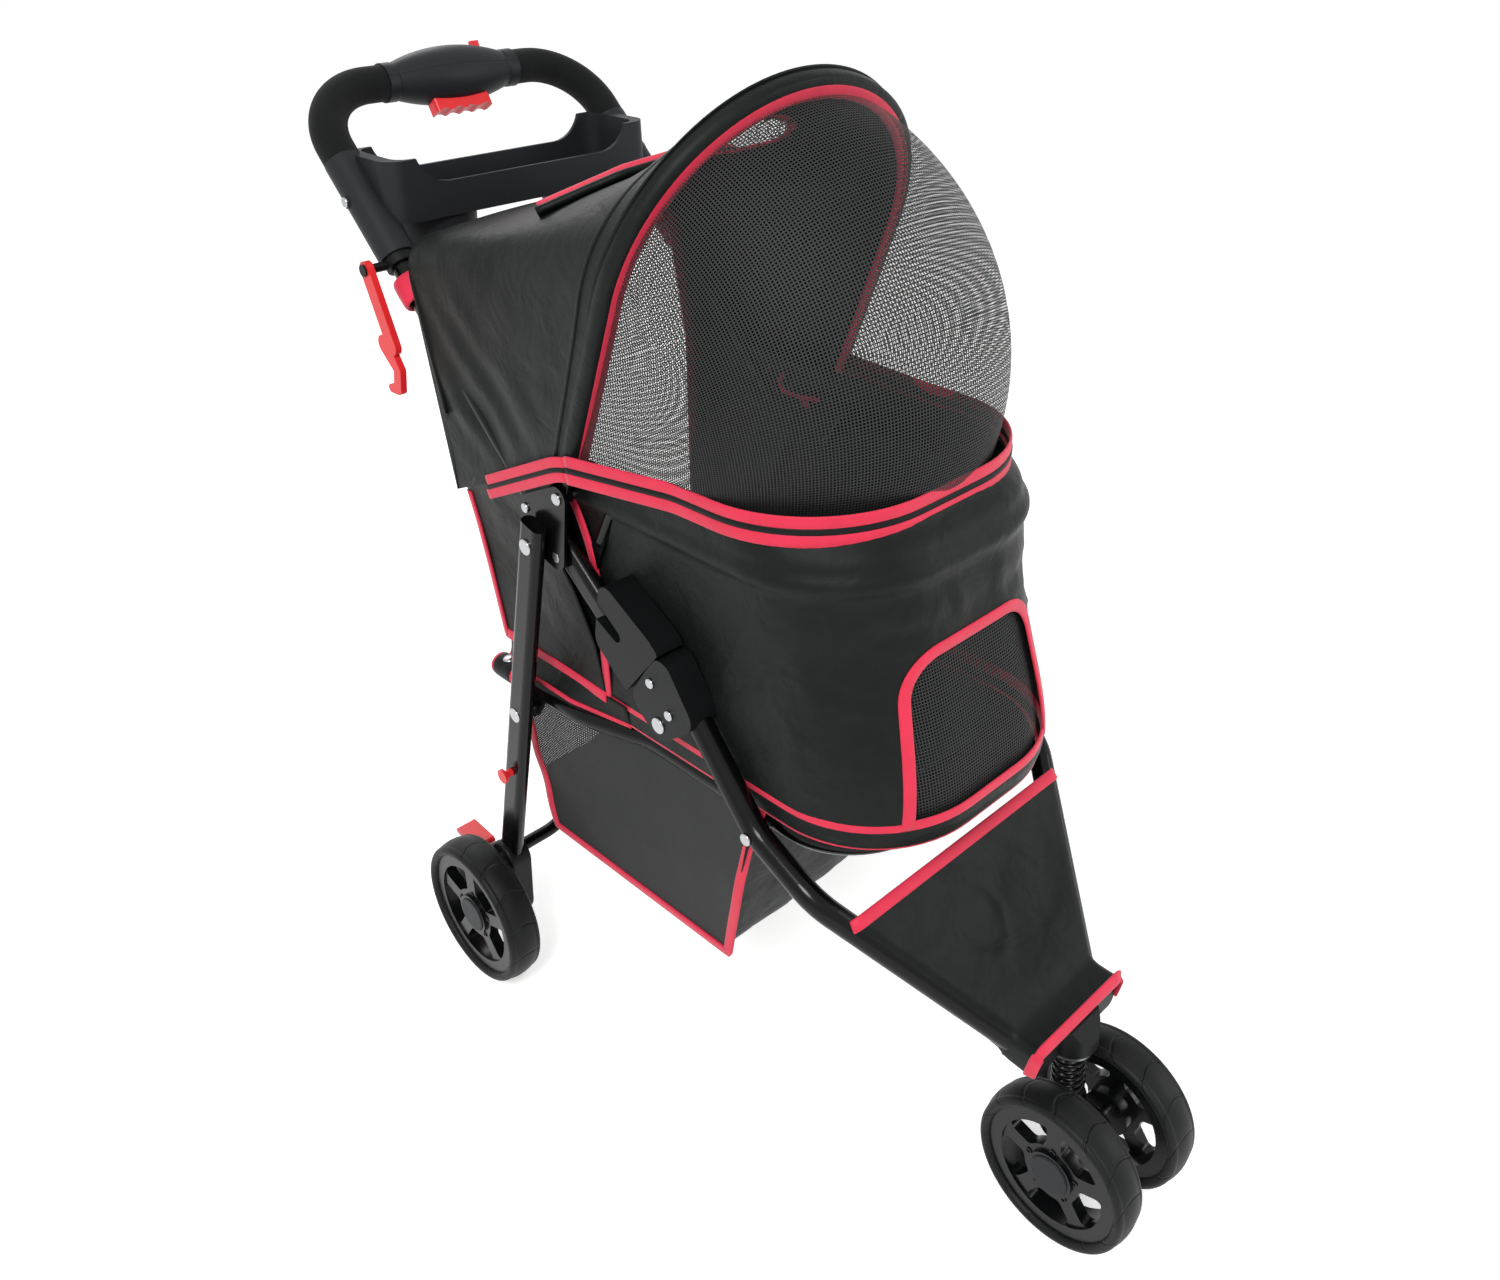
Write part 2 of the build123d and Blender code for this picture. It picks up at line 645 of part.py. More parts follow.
apron_wide = apron_top.X + tube_d / 2 + apron_edge
apron_narrow = front_tube_end_x + tube_d / 2 + apron_edge
apron_back = apron_top.Y + tube_d
apron_tip = apron_low[0] - tube_d
apron_plan = make_face(Polyline(
    (-apron_wide, apron_back), (apron_wide, apron_back), (apron_wide, apron_top.Y),
    (apron_narrow, apron_tip), (-apron_narrow, apron_tip), (-apron_wide, apron_top.Y), close=True))
apron = side_slab(apron_band, -apron_wide, apron_wide) & extrude(apron_plan, apron_top.Z + tube_d)
keep("apron", apron)

under = cloth / 2 + apron_gap
above = [(y + under, z - under) for y, z in apron_line]
outside = [(apron_tip, apron_low[1]), (apron_tip, apron_top.Z), (apron_top.Y, apron_top.Z)]
head -= side_slab(make_face(Polyline(*above, *outside, close=True)), -side_x, side_x)
keep("caster_head", head)

# Swivel caster with its spring, yoke and axle
stem_low = 62.0
stem = Pos(0, swivel_y, stem_low) * Cylinder(stem_d / 2, bush_high - 3 - stem_low, align=upward)
collar_t = 5.0
collar_low = spring_high_z
stem += Pos(0, swivel_y, collar_low) * Cylinder(20, collar_t, align=upward)
keep("caster_stem", stem)

coil_low = spring_low_z + spring_wire / 2 + 0.2
coil_high = spring_high_z - spring_wire / 2 - 0.2
pitch = (coil_high - coil_low) / spring_turns
coil_points = []
quarters = 4 * spring_turns
for step in range(2 * quarters + 1):
    turn = math.pi / 4 * step
    across = spring_coil_r * math.cos(turn)
    forward = spring_coil_r * math.sin(turn)
    coil_points.append(Vector(across, swivel_y + forward, coil_low + pitch * step / 8))
arcs = [ThreePointArc(*coil_points[2 * n:2 * n + 3]) for n in range(quarters)]
coil_path = Wire(arcs)
coil = sweep(Plane(coil_path @ 0, z_dir=coil_path % 0) * Circle(spring_wire / 2), path=coil_path)
keep("caster_spring", coil)
turn_points = [coil_path @ (n / (24 * spring_turns)) for n in range(24 * spring_turns + 1)]
least = min((a - b).length for n, a in enumerate(turn_points) for b in turn_points[n + 12:]) - spring_wire
print("least gap between the spring's turns", round(least, 2))

yoke_half = 19.0
yoke = side_slab(hull((front_axle_yz, 15), ((swivel_y, front_axle_yz[1] + 4), 17)), -yoke_half, yoke_half)
yoke = fillet(yoke.edges().group_by(Axis.X)[0] + yoke.edges().group_by(Axis.X)[-1], 4)
yoke += Pos(0, swivel_y, front_axle_yz[1]) * Cylinder(
    17.5, spring_low_z - front_axle_yz[1], align=upward)
yoke -= Pos(0, swivel_y, 0) * Cylinder(stem_d / 2 + run_fit, 300)
yoke -= cross_rod(front_axle_yz, -60, 60, axle_d + 2 * seat_fit)
keep("caster_yoke", yoke)
front_out = front_wheel_x + rim_w / 2
keep("front_axle", cross_rod(front_axle_yz, -front_out + 4, front_out - 4, axle_d))


def wheel(name, x, axle_at, radius):
    """Tyre, five-spoke rim and hub cap of one wheel on the +X side."""
    centre = Plane(at(x, axle_at), x_dir=(0, 1, 0), z_dir=(1, 0, 0))
    bead_r = radius - tyre_t
    crown_half = tyre_w / 3
    crown_drop = 2.2
    belly = bead_r + tyre_t * 0.42
    section = Line((-rim_w / 2, bead_r), (rim_w / 2, bead_r))
    section += ThreePointArc((rim_w / 2, bead_r), (tyre_w / 2, belly), (crown_half, radius - crown_drop))
    shoulder_r = radius - crown_drop
    section += ThreePointArc((crown_half, shoulder_r), (0, radius), (-crown_half, shoulder_r))
    section += ThreePointArc((-crown_half, radius - crown_drop), (-tyre_w / 2, belly), (-rim_w / 2, bead_r))
    cut_plane = Plane(at(x, axle_at), x_dir=(1, 0, 0), z_dir=(0, -1, 0))
    tyre = revolve(cut_plane * make_face(section), Axis(at(x, axle_at), (1, 0, 0)))
    rim_r = bead_r - seat_fit
    window_r = rim_r - rim_t
    ring = extrude(centre * (Circle(rim_r) - Circle(window_r)), rim_w / 2, both=True)
    windows = Circle(window_r) - Circle(hub_r + hub_flare)
    ways = [Rot(0, 0, 360 / spoke_count * n + 18) for n in range(spoke_count)]
    for way in ways:
        windows -= way * Pos(window_r / 2, 0) * Rectangle(window_r + spoke_w, spoke_w)
    windows = fillet(windows.vertices(), window_round)
    face_plane = centre.offset(rim_w / 2 - spoke_set)
    rim = ring + extrude(face_plane * (Circle(window_r + 1) - windows), -spoke_t)
    rim += extrude(centre.offset(-rim_w / 2) * Circle(hub_r), rim_w + 1)
    stud = Circle(stud_r) - Circle(stud_hole)
    studs = Sketch() + [way * Pos(hub_r + hub_flare / 2, 0) * stud for way in ways]
    rim += extrude(face_plane * studs, stud_high)
    rim -= extrude(centre.offset(-rim_w) * Circle(axle_d / 2 + run_fit), 2 * rim_w - 4)
    rim -= extrude(centre.offset(rim_w / 2 - 1) * Circle(hub_cap_r + seat_fit), 10)
    cap = extrude(centre.offset(rim_w / 2 - 0.9) * Circle(hub_cap_r), 3.4)
    cap = fillet(cap.edges().sort_by(Axis.X)[-1:], 1.6)
    both(f"{name}_tyre", tyre)
    both(f"{name}_rim", rim)
    both(f"{name}_hub_cap", cap)


wheel("rear", rear_wheel_x, rear_axle, rear_wheel_r)
wheel("front", front_wheel_x, front_axle_yz, front_wheel_r)

# Locking sleeves that slide on the link bars
seam_gap = 0.5
sleeve_top = seam - seam_gap - sleeve_len
sleeve_r = 16.0
sleeve_hood_r = 14.0
sleeve_top_r = 12.0
sleeve_end = 8.0
hood_top = on_bar(sleeve_top + sleeve_r, hood_set + 8.0)
sleeve_face = hull((on_bar(seam - sleeve_r, 0), sleeve_r), (on_bar(sleeve_top + 2.5 * sleeve_r, 0), sleeve_r),
                   (on_bar(seam - sleeve_hood_r, hood_set), sleeve_hood_r), (hood_top, sleeve_top_r))
sleeve_face += hull((on_bar(seam - sleeve_end, 0), sleeve_r),
                    (on_bar(seam - sleeve_end, hood_set), sleeve_hood_r))
sleeve_face -= Pos(*on_bar(seam - seam_gap + seam_half, hood_set / 2)) * seam_block
sleeve = side_slab(sleeve_face, plastic_in_x, plastic_out_x)
channel = offset(SlotOverall(bar_w, bar_t, rotation=90), 0.6)
sleeve -= extrude(bar_plane * channel, bar_length)
dish_deep = 9.0
dish_top = on_bar(sleeve_top + 10.0, -13.0)
dish_low = on_bar(seam - 40.0, -18.0)
dish = hull((dish_top, dish_deep), (dish_low, 6.0))
sleeve -= side_slab(dish, plastic_out_x - dish_deep, plastic_out_x + 1)
both("lock_sleeve", sleeve)

# Seat loop on the leg pivots, with floor board, pad, cabin tub and basket
loop_points = [(0, loop_rear_y), (loop_rear_half, loop_rear_y), (loop_rear_half, jog_rear_y),
               (loop_front_half, jog_front_y), (loop_front_half, loop_front_y), (0, loop_front_y)]
half_path = [(x, y, seat_z) for x, y in loop_points]
half_loop = bent_tube(half_path, [55, 90, 90, 75], loop_d, 1.4)
lug_in = loop_rear_half + loop_d / 2 - 1.0
lug = side_slab(hull((seat_pivot, 10), ((seat_pivot[0] - 12, seat_z), 8), ((seat_pivot[0] + 12, seat_z), 8)),
                lug_in, bracket_in - 0.8)
lug -= cross_rod(seat_pivot, 0, 300, pivot_d + 2 * run_fit)
half_loop += lug
keep("seat_loop", half_loop + mirror(half_loop, about=Plane.YZ))


def tub_outline(front, half, z, inset=0.0):
    """Plan of the cabin at one height: small corners at the rear, large ones in front."""
    side = half - inset
    tip = front + inset
    corners = [(side, tub_rear_y), (side, tip), (-side, tip), (-side, tub_rear_y)]
    radii = [tub_rear_r, tub_front_r - inset, tub_front_r - inset, tub_rear_r]
    line = FilletPolyline(*[(x, y, z) for x, y in corners], radius=radii, close=True)
    return make_face(line)


tub = loft([tub_outline(tub_front_low, tub_half, tub_low_z),
            tub_outline(tub_front_high, tub_rim_half, tub_high_z)], ruled=True)
room = loft([tub_outline(tub_front_low, tub_half, tub_low_z + cloth, cloth),
             tub_outline(tub_front_high, tub_rim_half, tub_high_z + 1, cloth)], ruled=True)
rear_wall = Pos(0, tub_rear_y, (tub_low_z + tub_high_z) / 2 + cloth) * Box(600, 2 * cloth, 400)
keep("cabin_tub", tub - (room - rear_wall))

board_low = tub_low_z + cloth + 0.3
board_edge = cloth + 4.0
board_face = tub_outline(tub_front_low + 2, tub_half, board_low, board_edge)
board = extrude(board_face, board_t)
board -= Pos(0, tub_rear_y, board_low) * Box(600, 2 * board_edge, 60)
keep("floor_board", board)

pad_low = board_low + board_t + 0.3
pad_edge = board_edge + 5.0
pad_half = tub_half - pad_edge
pad_front = tub_front_low + 44.0
pad_rear = tub_rear_y - pad_edge - 4.0
pad_mid = (pad_front + pad_rear) / 2
levels = [(0.0, 5.0), (0.4, 0.0), (0.75, 4.0), (1.0, 34.0)]
rings = []
for part_way, inset in levels:
    ring = RectangleRounded(2 * (pad_half - inset), pad_rear - pad_front - 2 * inset, 44 - inset)
    rings.append(Pos(0, pad_mid, pad_low + pad_t * part_way) * ring)
pad = loft(rings, ruled=True)
keep("floor_pad", pad)

basket_high = seat_z - loop_d / 2 - 0.4
basket_side = Polyline((basket_rear_y, basket_low_z), (basket_front_low, basket_low_z),
                       (basket_front_high, basket_high), (basket_rear_y, basket_high), close=True)
fill_rear = basket_rear_y - cloth
fill_low = basket_low_z + cloth
fill_high = basket_high + 1.0
basket_fill = Polyline((fill_rear, fill_low), (basket_front_low + cloth, fill_low),
                       (basket_front_high + cloth, fill_high), (fill_rear, fill_high), close=True)
basket = side_slab(make_face(basket_side), -basket_half, basket_half)
basket -= side_slab(make_face(basket_fill), cloth - basket_half, basket_half - cloth)
lip_front = basket_front_high + 34.0
mouth_cut = make_face(Polyline(
    (basket_rear_y + cloth, basket_lip_z), (basket_rear_y + cloth, basket_high + cloth),
    (lip_front, basket_high + cloth), (lip_front + 36.0, basket_high - 8.0), close=True))
basket -= side_slab(mouth_cut, -side_x, side_x)
keep("basket", basket)

# Hood, its hoop and the mesh front
hoop_tilt = 113.4
hoop_dir = Vector(0, math.cos(math.radians(hoop_tilt)), math.sin(math.radians(hoop_tilt)))
hoop_plane = Plane(at(0, hoop_pivot), x_dir=(1, 0, 0), z_dir=Vector(1, 0, 0).cross(hoop_dir))


def arch(half, low, leg_len):
    """Closed arch outline: straight sides under a half circle."""
    line = Polyline((-half, leg_len), (-half, low), (half, low), (half, leg_len))
    crown_arc = ThreePointArc((half, leg_len), (0, leg_len + half), (-half, leg_len))
    return make_face(line + crown_arc)


hoop_line = Polyline((-hoop_half, 0), (-hoop_half, hoop_leg))
hoop_arc = ThreePointArc((-hoop_half, hoop_leg), (0, hoop_leg + hoop_half), (hoop_half, hoop_leg))
hoop_down = Polyline((hoop_half, hoop_leg), (hoop_half, 0))
hoop_path = Wire([hoop_plane * edge for edge in (hoop_line + hoop_arc + hoop_down).edges().sort_by(Axis.X)])
hoop = sweep(Plane(hoop_path @ 0, z_dir=hoop_path % 0) * Circle(hoop_d / 2), path=hoop_path)
eye = cross_rod(hoop_pivot, hoop_half - 4, bracket_in - plate_gap, 14)
hoop += eye
hoop += mirror(eye, about=Plane.YZ)
for way in (-1, 1):
    hoop -= cross_rod(hoop_pivot, way * (hoop_half - hoop_d), way * bracket_out, pivot_d - 2 + 2 * run_fit)
keep("hood_hoop", hoop)


hood_gap = 6.0
hood_start = 36.0
hood_back = Vector(0, hoop_dir.Z, -hoop_dir.Y) * hood_gap
hood_origin = at(0, hoop_pivot) + hood_back
front_foot = hood_origin + hoop_dir * hood_start
front_top = hood_origin + hoop_dir * (hoop_leg + hood_half + 2)
rear_foot = Vector(0, hood_rear_y, hood_low_z)
rear_top = Vector(0, hood_rear_y, hood_rear_top)


def hood_section(share, inset):
    """Outline of the hood part of the way from its hoop to its rear: slack, and flatter at the rear."""
    foot = front_foot + (rear_foot - front_foot) * share
    top = front_top + (rear_top - front_top) * share
    top -= Vector(0, 0, hood_slack * math.sin(math.pi * share))
    height = (top - foot).length - inset
    half = hood_half - inset
    corner_r = half * 0.98 + (hood_rear_r - inset - half * 0.98) * share
    crown = 0.5 + hood_crown * share
    shoulder = height - crown
    turn_x = half - corner_r
    turn_v = shoulder - corner_r
    reach = corner_r * math.sqrt(0.5)
    line = Line((-half, 0), (-half, turn_v))
    line += ThreePointArc((-half, turn_v), (-turn_x - reach, turn_v + reach), (-turn_x, shoulder))
    line += ThreePointArc((-turn_x, shoulder), (0, height), (turn_x, shoulder))
    line += ThreePointArc((turn_x, shoulder), (turn_x + reach, turn_v + reach), (half, turn_v))
    line += Polyline((half, turn_v), (half, 0), (-half, 0))
    plane = Plane(foot, x_dir=(1, 0, 0), z_dir=Vector(1, 0, 0).cross(top - foot))
    return plane * make_face(line)


hood_shares = (0.0, 0.25, 0.5, 0.75, 1.0)
hood_out = loft([hood_section(share, 0.0) for share in hood_shares], ruled=True)
hood_room = loft([hood_section(share, cloth) for share in hood_shares], ruled=True)
end_wall = Pos(0, hood_rear_y, 700) * Box(600, 2 * cloth, 600)
hood = hood_out - (hood_room - end_wall)
hood -= Pos(0, 0, hood_low_z - 100) * Box(800, 1200, 200 + 0.4)
exit_hole = rod(at(side_x, tube_start), at(side_x, handle_rear), tube_d + 1.2)
hood -= exit_hole
hood -= mirror(exit_hole, about=Plane.YZ)
keep("hood", hood)

mesh_t = 2.5
rim_tilt = 179.4
mesh_rim_half = mesh_half - 17.0
bulge = 14.0


def fan_face(degrees, half, low, leg_len):
    """Arch outline in a plane through the hoop pivots at one tilt."""
    up = Vector(0, math.cos(math.radians(degrees)), math.sin(math.radians(degrees)))
    plane = Plane(at(0, hoop_pivot) + Vector(0, -14, 32), x_dir=(1, 0, 0), z_dir=Vector(1, 0, 0).cross(up))
    return plane * arch(half, low, leg_len)


mesh_lift = 2.2
mesh_front_leg = 131.0
mesh_hoop_leg = hoop_leg - 34
tilts = (hoop_tilt + mesh_lift, (hoop_tilt + rim_tilt) / 2, rim_tilt)
legs_out = (mesh_hoop_leg, (mesh_hoop_leg + mesh_front_leg) / 2 + bulge, mesh_front_leg)
halves = (mesh_half, (mesh_half + mesh_rim_half) / 2 + 3, mesh_rim_half)
mesh_outer = loft([fan_face(t, h, 24, n) for t, h, n in zip(tilts, halves, legs_out)])
past = (tilts[0] - 3, tilts[1], tilts[2] + 3)
mesh_inner = loft([fan_face(t, h - mesh_t, 4, n) for t, h, n in zip(past, halves, legs_out)])
keep("mesh_front", mesh_outer - mesh_inner)

low = min(shape.bounding_box().min.Z for shape in made.values())
high = max(shape.bounding_box().max.Z for shape in made.values())
front = min(shape.bounding_box().min.Y for shape in made.values())
rear = max(shape.bounding_box().max.Y for shape in made.values())
print("nodes", len(made), "z", round(low, 1), round(high, 1), "y", round(front, 1), round(rear, 1))
print("hook reach", round(hook_reach, 1), "folded post", folded_post, "notch", notch)
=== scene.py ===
# %% [markdown]
# # A folding pet stroller
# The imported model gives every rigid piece: tubes, hinges, wheels, tray and console.
# This lesson loads it as a fixed frame, sets the photograph's camera and studio light, writes the
# finishes, and then sews the soft parts: hood, mesh front, cabin, apron and basket.

# %% Load the frame
import json
import math

import bmesh
import bpy
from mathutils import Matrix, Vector, noise


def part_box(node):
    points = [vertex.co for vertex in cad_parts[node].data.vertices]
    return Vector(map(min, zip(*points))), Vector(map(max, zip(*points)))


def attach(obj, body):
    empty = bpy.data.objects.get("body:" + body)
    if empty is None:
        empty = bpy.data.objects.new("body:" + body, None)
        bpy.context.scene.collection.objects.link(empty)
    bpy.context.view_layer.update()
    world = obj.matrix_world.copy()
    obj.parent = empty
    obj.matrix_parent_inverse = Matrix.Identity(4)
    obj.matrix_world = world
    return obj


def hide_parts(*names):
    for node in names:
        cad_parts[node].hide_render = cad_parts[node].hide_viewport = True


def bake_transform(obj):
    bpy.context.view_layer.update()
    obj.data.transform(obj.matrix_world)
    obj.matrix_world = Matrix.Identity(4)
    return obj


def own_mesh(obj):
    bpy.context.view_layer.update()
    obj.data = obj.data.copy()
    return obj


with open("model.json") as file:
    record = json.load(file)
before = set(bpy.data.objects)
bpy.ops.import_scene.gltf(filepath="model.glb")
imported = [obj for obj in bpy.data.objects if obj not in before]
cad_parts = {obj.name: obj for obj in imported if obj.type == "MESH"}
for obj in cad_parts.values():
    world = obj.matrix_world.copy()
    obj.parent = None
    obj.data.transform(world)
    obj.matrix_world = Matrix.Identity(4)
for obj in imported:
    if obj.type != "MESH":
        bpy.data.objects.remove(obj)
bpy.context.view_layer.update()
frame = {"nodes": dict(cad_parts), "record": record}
mm = 0.001


# %% [markdown]
# ## Camera
# A camera is three facts: where it stands, where it looks, and how much it takes in.
# The photograph was cropped off centre, so the middle of the lens isn't the middle of the picture.
# The shift of the lens makes up for that.

# %% Camera
picture_wide = 1500
picture_high = 1280
focal_pixels = 1343.15
lens_centre = (865.5, 503.1)
sensor_mm = 36.0
eye = Vector((-0.7311, -0.8009, 1.0931))
look_down = 26.08
look_right = 47.09

camera_data = bpy.data.cameras.new("photo_camera")
camera_data.sensor_width = sensor_mm
camera_data.lens = focal_pixels / picture_wide * sensor_mm
camera_data.shift_x = (picture_wide / 2 - lens_centre[0]) / picture_wide
camera_data.shift_y = (lens_centre[1] - picture_high / 2) / picture_wide
camera_data.clip_end = 100
camera = bpy.data.objects.new("photo_camera", camera_data)
camera.location = eye
camera.rotation_euler = (math.radians(90 - look_down), 0, math.radians(-look_right))
bpy.context.collection.objects.link(camera)
bpy.context.scene.camera = camera
bpy.context.scene.view_settings.view_transform = "Standard"
print("lens", round(camera_data.lens, 2), "mm")

# %% [markdown]
# ## Finishes: how the nodes are written
# Every finish is a small graph of nodes. One function adds a node, sets its values and links its
# inputs, so that a finish reads from top to bottom. Colours are written as sRGB hex, as a picker shows
# them, and turned to the linear numbers that light needs. The size of a pattern is written in millimetres.

# %% Node helper


def linear(code):
    """Linear colour of an sRGB hex code."""
    shares = [int(code[n:n + 2], 16) / 255 for n in (1, 3, 5)]
    return [s / 12.92 if s <= 0.04045 else ((s + 0.055) / 1.055) ** 2.4 for s in shares] + [1.0]


def spots(size_mm):
    """Scale at which the spots of a noise pattern are about this many millimetres across."""
    return 0.5 / (size_mm * mm)


def blank(name):
    """Material with an empty graph."""
    finish = bpy.data.materials.new(name)
    finish.use_nodes = True
    finish.node_tree.nodes.clear()
    return finish


def add(owner, kind, inputs=None, **settings):
    """Add one node: sockets given as values are set, and those given as sockets are linked."""
    made = owner.node_tree.nodes.new("ShaderNode" + kind)
    for key, value in settings.items():
        setattr(made, key, value)
    for key, value in (inputs or {}).items():
        if isinstance(value, bpy.types.NodeSocket):
            owner.node_tree.links.new(value, made.inputs[key])
        else:
            made.inputs[key].default_value = value
    return made


def shade(finish, inputs):
    """Close a graph with the standard surface shader."""
    surface = add(finish, "BsdfPrincipled", inputs)
    add(finish, "OutputMaterial", {"Surface": surface.outputs["BSDF"]})
    return finish


# %% [markdown]
# ## Studio
# The photograph is a cut-out on white, lit softly from above. A large lamp over the camera's left
# shoulder gives the tubes their bright lines, a lower one fills the shade, and the sky is white.
# The sky and the floor look brighter than the light they give, so the white stays white and the shade dark.
# The floor stays, so that the wheels have something to stand on.

# %% Studio light and floor
sky_gives = 0.5
sky_looks = 1.0
paper_glow = 0.5
paper_clouds = 40.0
floor_half = 30.0
floor_drop = 0.5 * mm
lamp_aim = Vector((0.0, -0.05, 0.5))


def looked_at(owner):
    """Socket that is 1 for what the camera sees, straight or by way of a gloss or glass, and else 0."""
    rays = add(owner, "LightPath").outputs
    direct = add(owner, "Math", {0: rays["Is Camera Ray"], 1: rays["Is Transmission Ray"]},
                 operation="MAXIMUM")
    shown = add(owner, "Math", {0: direct.outputs[0], 1: rays["Is Glossy Ray"]}, operation="MAXIMUM")
    return shown.outputs[0]


def lamp(name, at, size, power):
    """Square soft lamp that faces the object."""
    data = bpy.data.lights.new(name, "AREA")
    data.size = size
    data.energy = power
    light = bpy.data.objects.new(name, data)
    light.location = at
    light.rotation_euler = (lamp_aim - Vector(at)).to_track_quat("-Z", "Y").to_euler()
    bpy.context.collection.objects.link(light)


world = bpy.data.worlds.new("studio")
bpy.context.scene.world = world
world.use_nodes = True
bright = add(world, "MapRange", {"Value": looked_at(world), "To Min": sky_gives, "To Max": sky_looks})
sky = world.node_tree.nodes["Background"].inputs
sky["Color"].default_value = (1, 1, 1, 1)
world.node_tree.links.new(bright.outputs["Result"], sky["Strength"])

lamp("key", (-1.9, -1.3, 2.6), size=0.9, power=62)
lamp("fill", (1.7, -2.2, 1.3), size=1.0, power=18)
lamp("back", (0.6, 2.4, 2.2), size=1.2, power=18)

floor_paper = blank("floor_paper")
cloud = add(floor_paper, "TexNoise", {"Scale": paper_clouds})
paper_tone = add(floor_paper, "Mix", {"Factor": cloud.outputs["Fac"], "A": linear("#f6f6f5"),
                                      "B": linear("#fbfbfa")}, data_type="RGBA")
glow = add(floor_paper, "Math", {0: looked_at(floor_paper), 1: paper_glow}, operation="MULTIPLY")
shade(floor_paper, {"Base Color": paper_tone.outputs[2], "Roughness": 0.9, "Emission Color": (1, 1, 1, 1),
                    "Emission Strength": glow.outputs[0]})
floor_mesh = bpy.data.meshes.new("floor")
floor_corners = [(x * floor_half, y * floor_half, 0) for x, y in ((-1, -1), (1, -1), (1, 1), (-1, 1))]
floor_mesh.from_pydata(floor_corners, [], [(0, 1, 2, 3)])
floor = bpy.data.objects.new("floor", floor_mesh)
bpy.context.collection.objects.link(floor)
floor.data.materials.append(floor_paper)
floor.location.z = -floor_drop

# %% [markdown]
# ## Steel
# The tubes are powder-coated steel, smooth with a faint orange peel. Rivets are plated and axles turned.
# Each finish starts from the usual values for its stuff and is then matched to the photograph.

# %% Steel
peel_mm = 1.19048
handling_mm = 27.7778
turning_mm = 0.55556


def coated_steel():
    """Powder-coated steel tube: gloss black, with a faint orange peel that softens reflections."""
    finish = blank("powder_coated_steel")
    place = add(finish, "TexCoord").outputs["Object"]
    peel = add(finish, "TexNoise", {"Vector": place, "Scale": spots(peel_mm), "Detail": 2.0})
    dust = add(finish, "TexNoise", {"Vector": place, "Scale": spots(handling_mm), "Detail": 5.0})
    rough = add(finish, "MapRange", {"Value": dust.outputs["Fac"], "To Min": 0.14, "To Max": 0.26})
    bump = add(finish, "Bump", {"Height": peel.outputs["Fac"], "Strength": 0.06, "Distance": 0.4 * mm})
    return shade(finish, {"Base Color": linear("#070708"), "Roughness": rough.outputs["Result"],
                          "Normal": bump.outputs["Normal"], "Specular IOR Level": 0.2})


def plated_steel(name, code, roughness):
    """Plated or turned steel: fine marks along the surface vary the gloss."""
    finish = blank(name)
    place = add(finish, "TexCoord").outputs["Object"]
    marks = add(finish, "TexNoise", {"Vector": place, "Scale": spots(turning_mm), "Detail": 3.0})
    rough = add(finish, "MapRange", {"Value": marks.outputs["Fac"], "To Min": roughness * 0.8,
                                     "To Max": roughness * 1.3})
    return shade(finish, {"Base Color": linear(code), "Metallic": 1.0, "Roughness": rough.outputs["Result"]})


# %% [markdown]
# ## Plastic and foam
# Injection-moulded plastic has a fine spark grain from its mould, and gloss that handling has made uneven.
# Foam grips are full of small pores.

# %% Plastic and foam
gloss_drift_mm = 35.7143
pore_mm = 1.6129
rub_mm = 16.6667


def moulded_plastic(name, code, roughness, grain_mm, shine=0.15):
    """Injection-moulded plastic: an even spark grain, with gloss that wanders a little."""
    finish = blank(name)
    place = add(finish, "TexCoord").outputs["Object"]
    grain = add(finish, "TexNoise", {"Vector": place, "Scale": spots(grain_mm), "Detail": 2.0})
    drift = add(finish, "TexNoise", {"Vector": place, "Scale": spots(gloss_drift_mm), "Detail": 4.0})
    rough = add(finish, "MapRange", {"Value": drift.outputs["Fac"], "To Min": roughness - 0.07,
                                     "To Max": roughness + 0.08})
    light = add(finish, "MapRange", {"Value": drift.outputs["Fac"], "To Min": 0.88, "To Max": 1.14})
    tone = add(finish, "HueSaturation", {"Color": linear(code), "Value": light.outputs["Result"]})
    bump = add(finish, "Bump", {"Height": grain.outputs["Fac"], "Strength": 0.16, "Distance": 0.3 * mm})
    return shade(finish, {"Base Color": tone.outputs["Color"], "Roughness": rough.outputs["Result"],
                          "Normal": bump.outputs["Normal"], "Specular IOR Level": shine})


def grip_foam():
    """Closed-cell foam: matt, with small pores all over."""
    finish = blank("grip_foam")
    place = add(finish, "TexCoord").outputs["Object"]
    pores = add(finish, "TexVoronoi", {"Vector": place, "Scale": 1 / (pore_mm * mm)})
    rub = add(finish, "TexNoise", {"Vector": place, "Scale": spots(rub_mm), "Detail": 6.0})
    tone = add(finish, "Mix", {"Factor": rub.outputs["Fac"], "A": linear("#08090a"), "B": linear("#151617")},
               data_type="RGBA")
    bump = add(finish, "Bump", {"Height": pores.outputs["Distance"], "Strength": 0.5, "Distance": 0.6 * mm})
    return shade(finish, {"Base Color": tone.outputs[2], "Roughness": 0.92, "Normal": bump.outputs["Normal"],
                          "Specular IOR Level": 0.2, "Sheen Weight": 0.06})


# %% [markdown]
# ## Tyres
# The tyres are foamed and matt, with shallow slanted cuts round the shoulder. Those could be modelled, but
# a wave round the wheel's axis, as a bump, shows the same and costs no faces.

# %% Tyres
tyre_dust_mm = 8.33333
sipe_count = 14.0
sipe_slant = 62.0


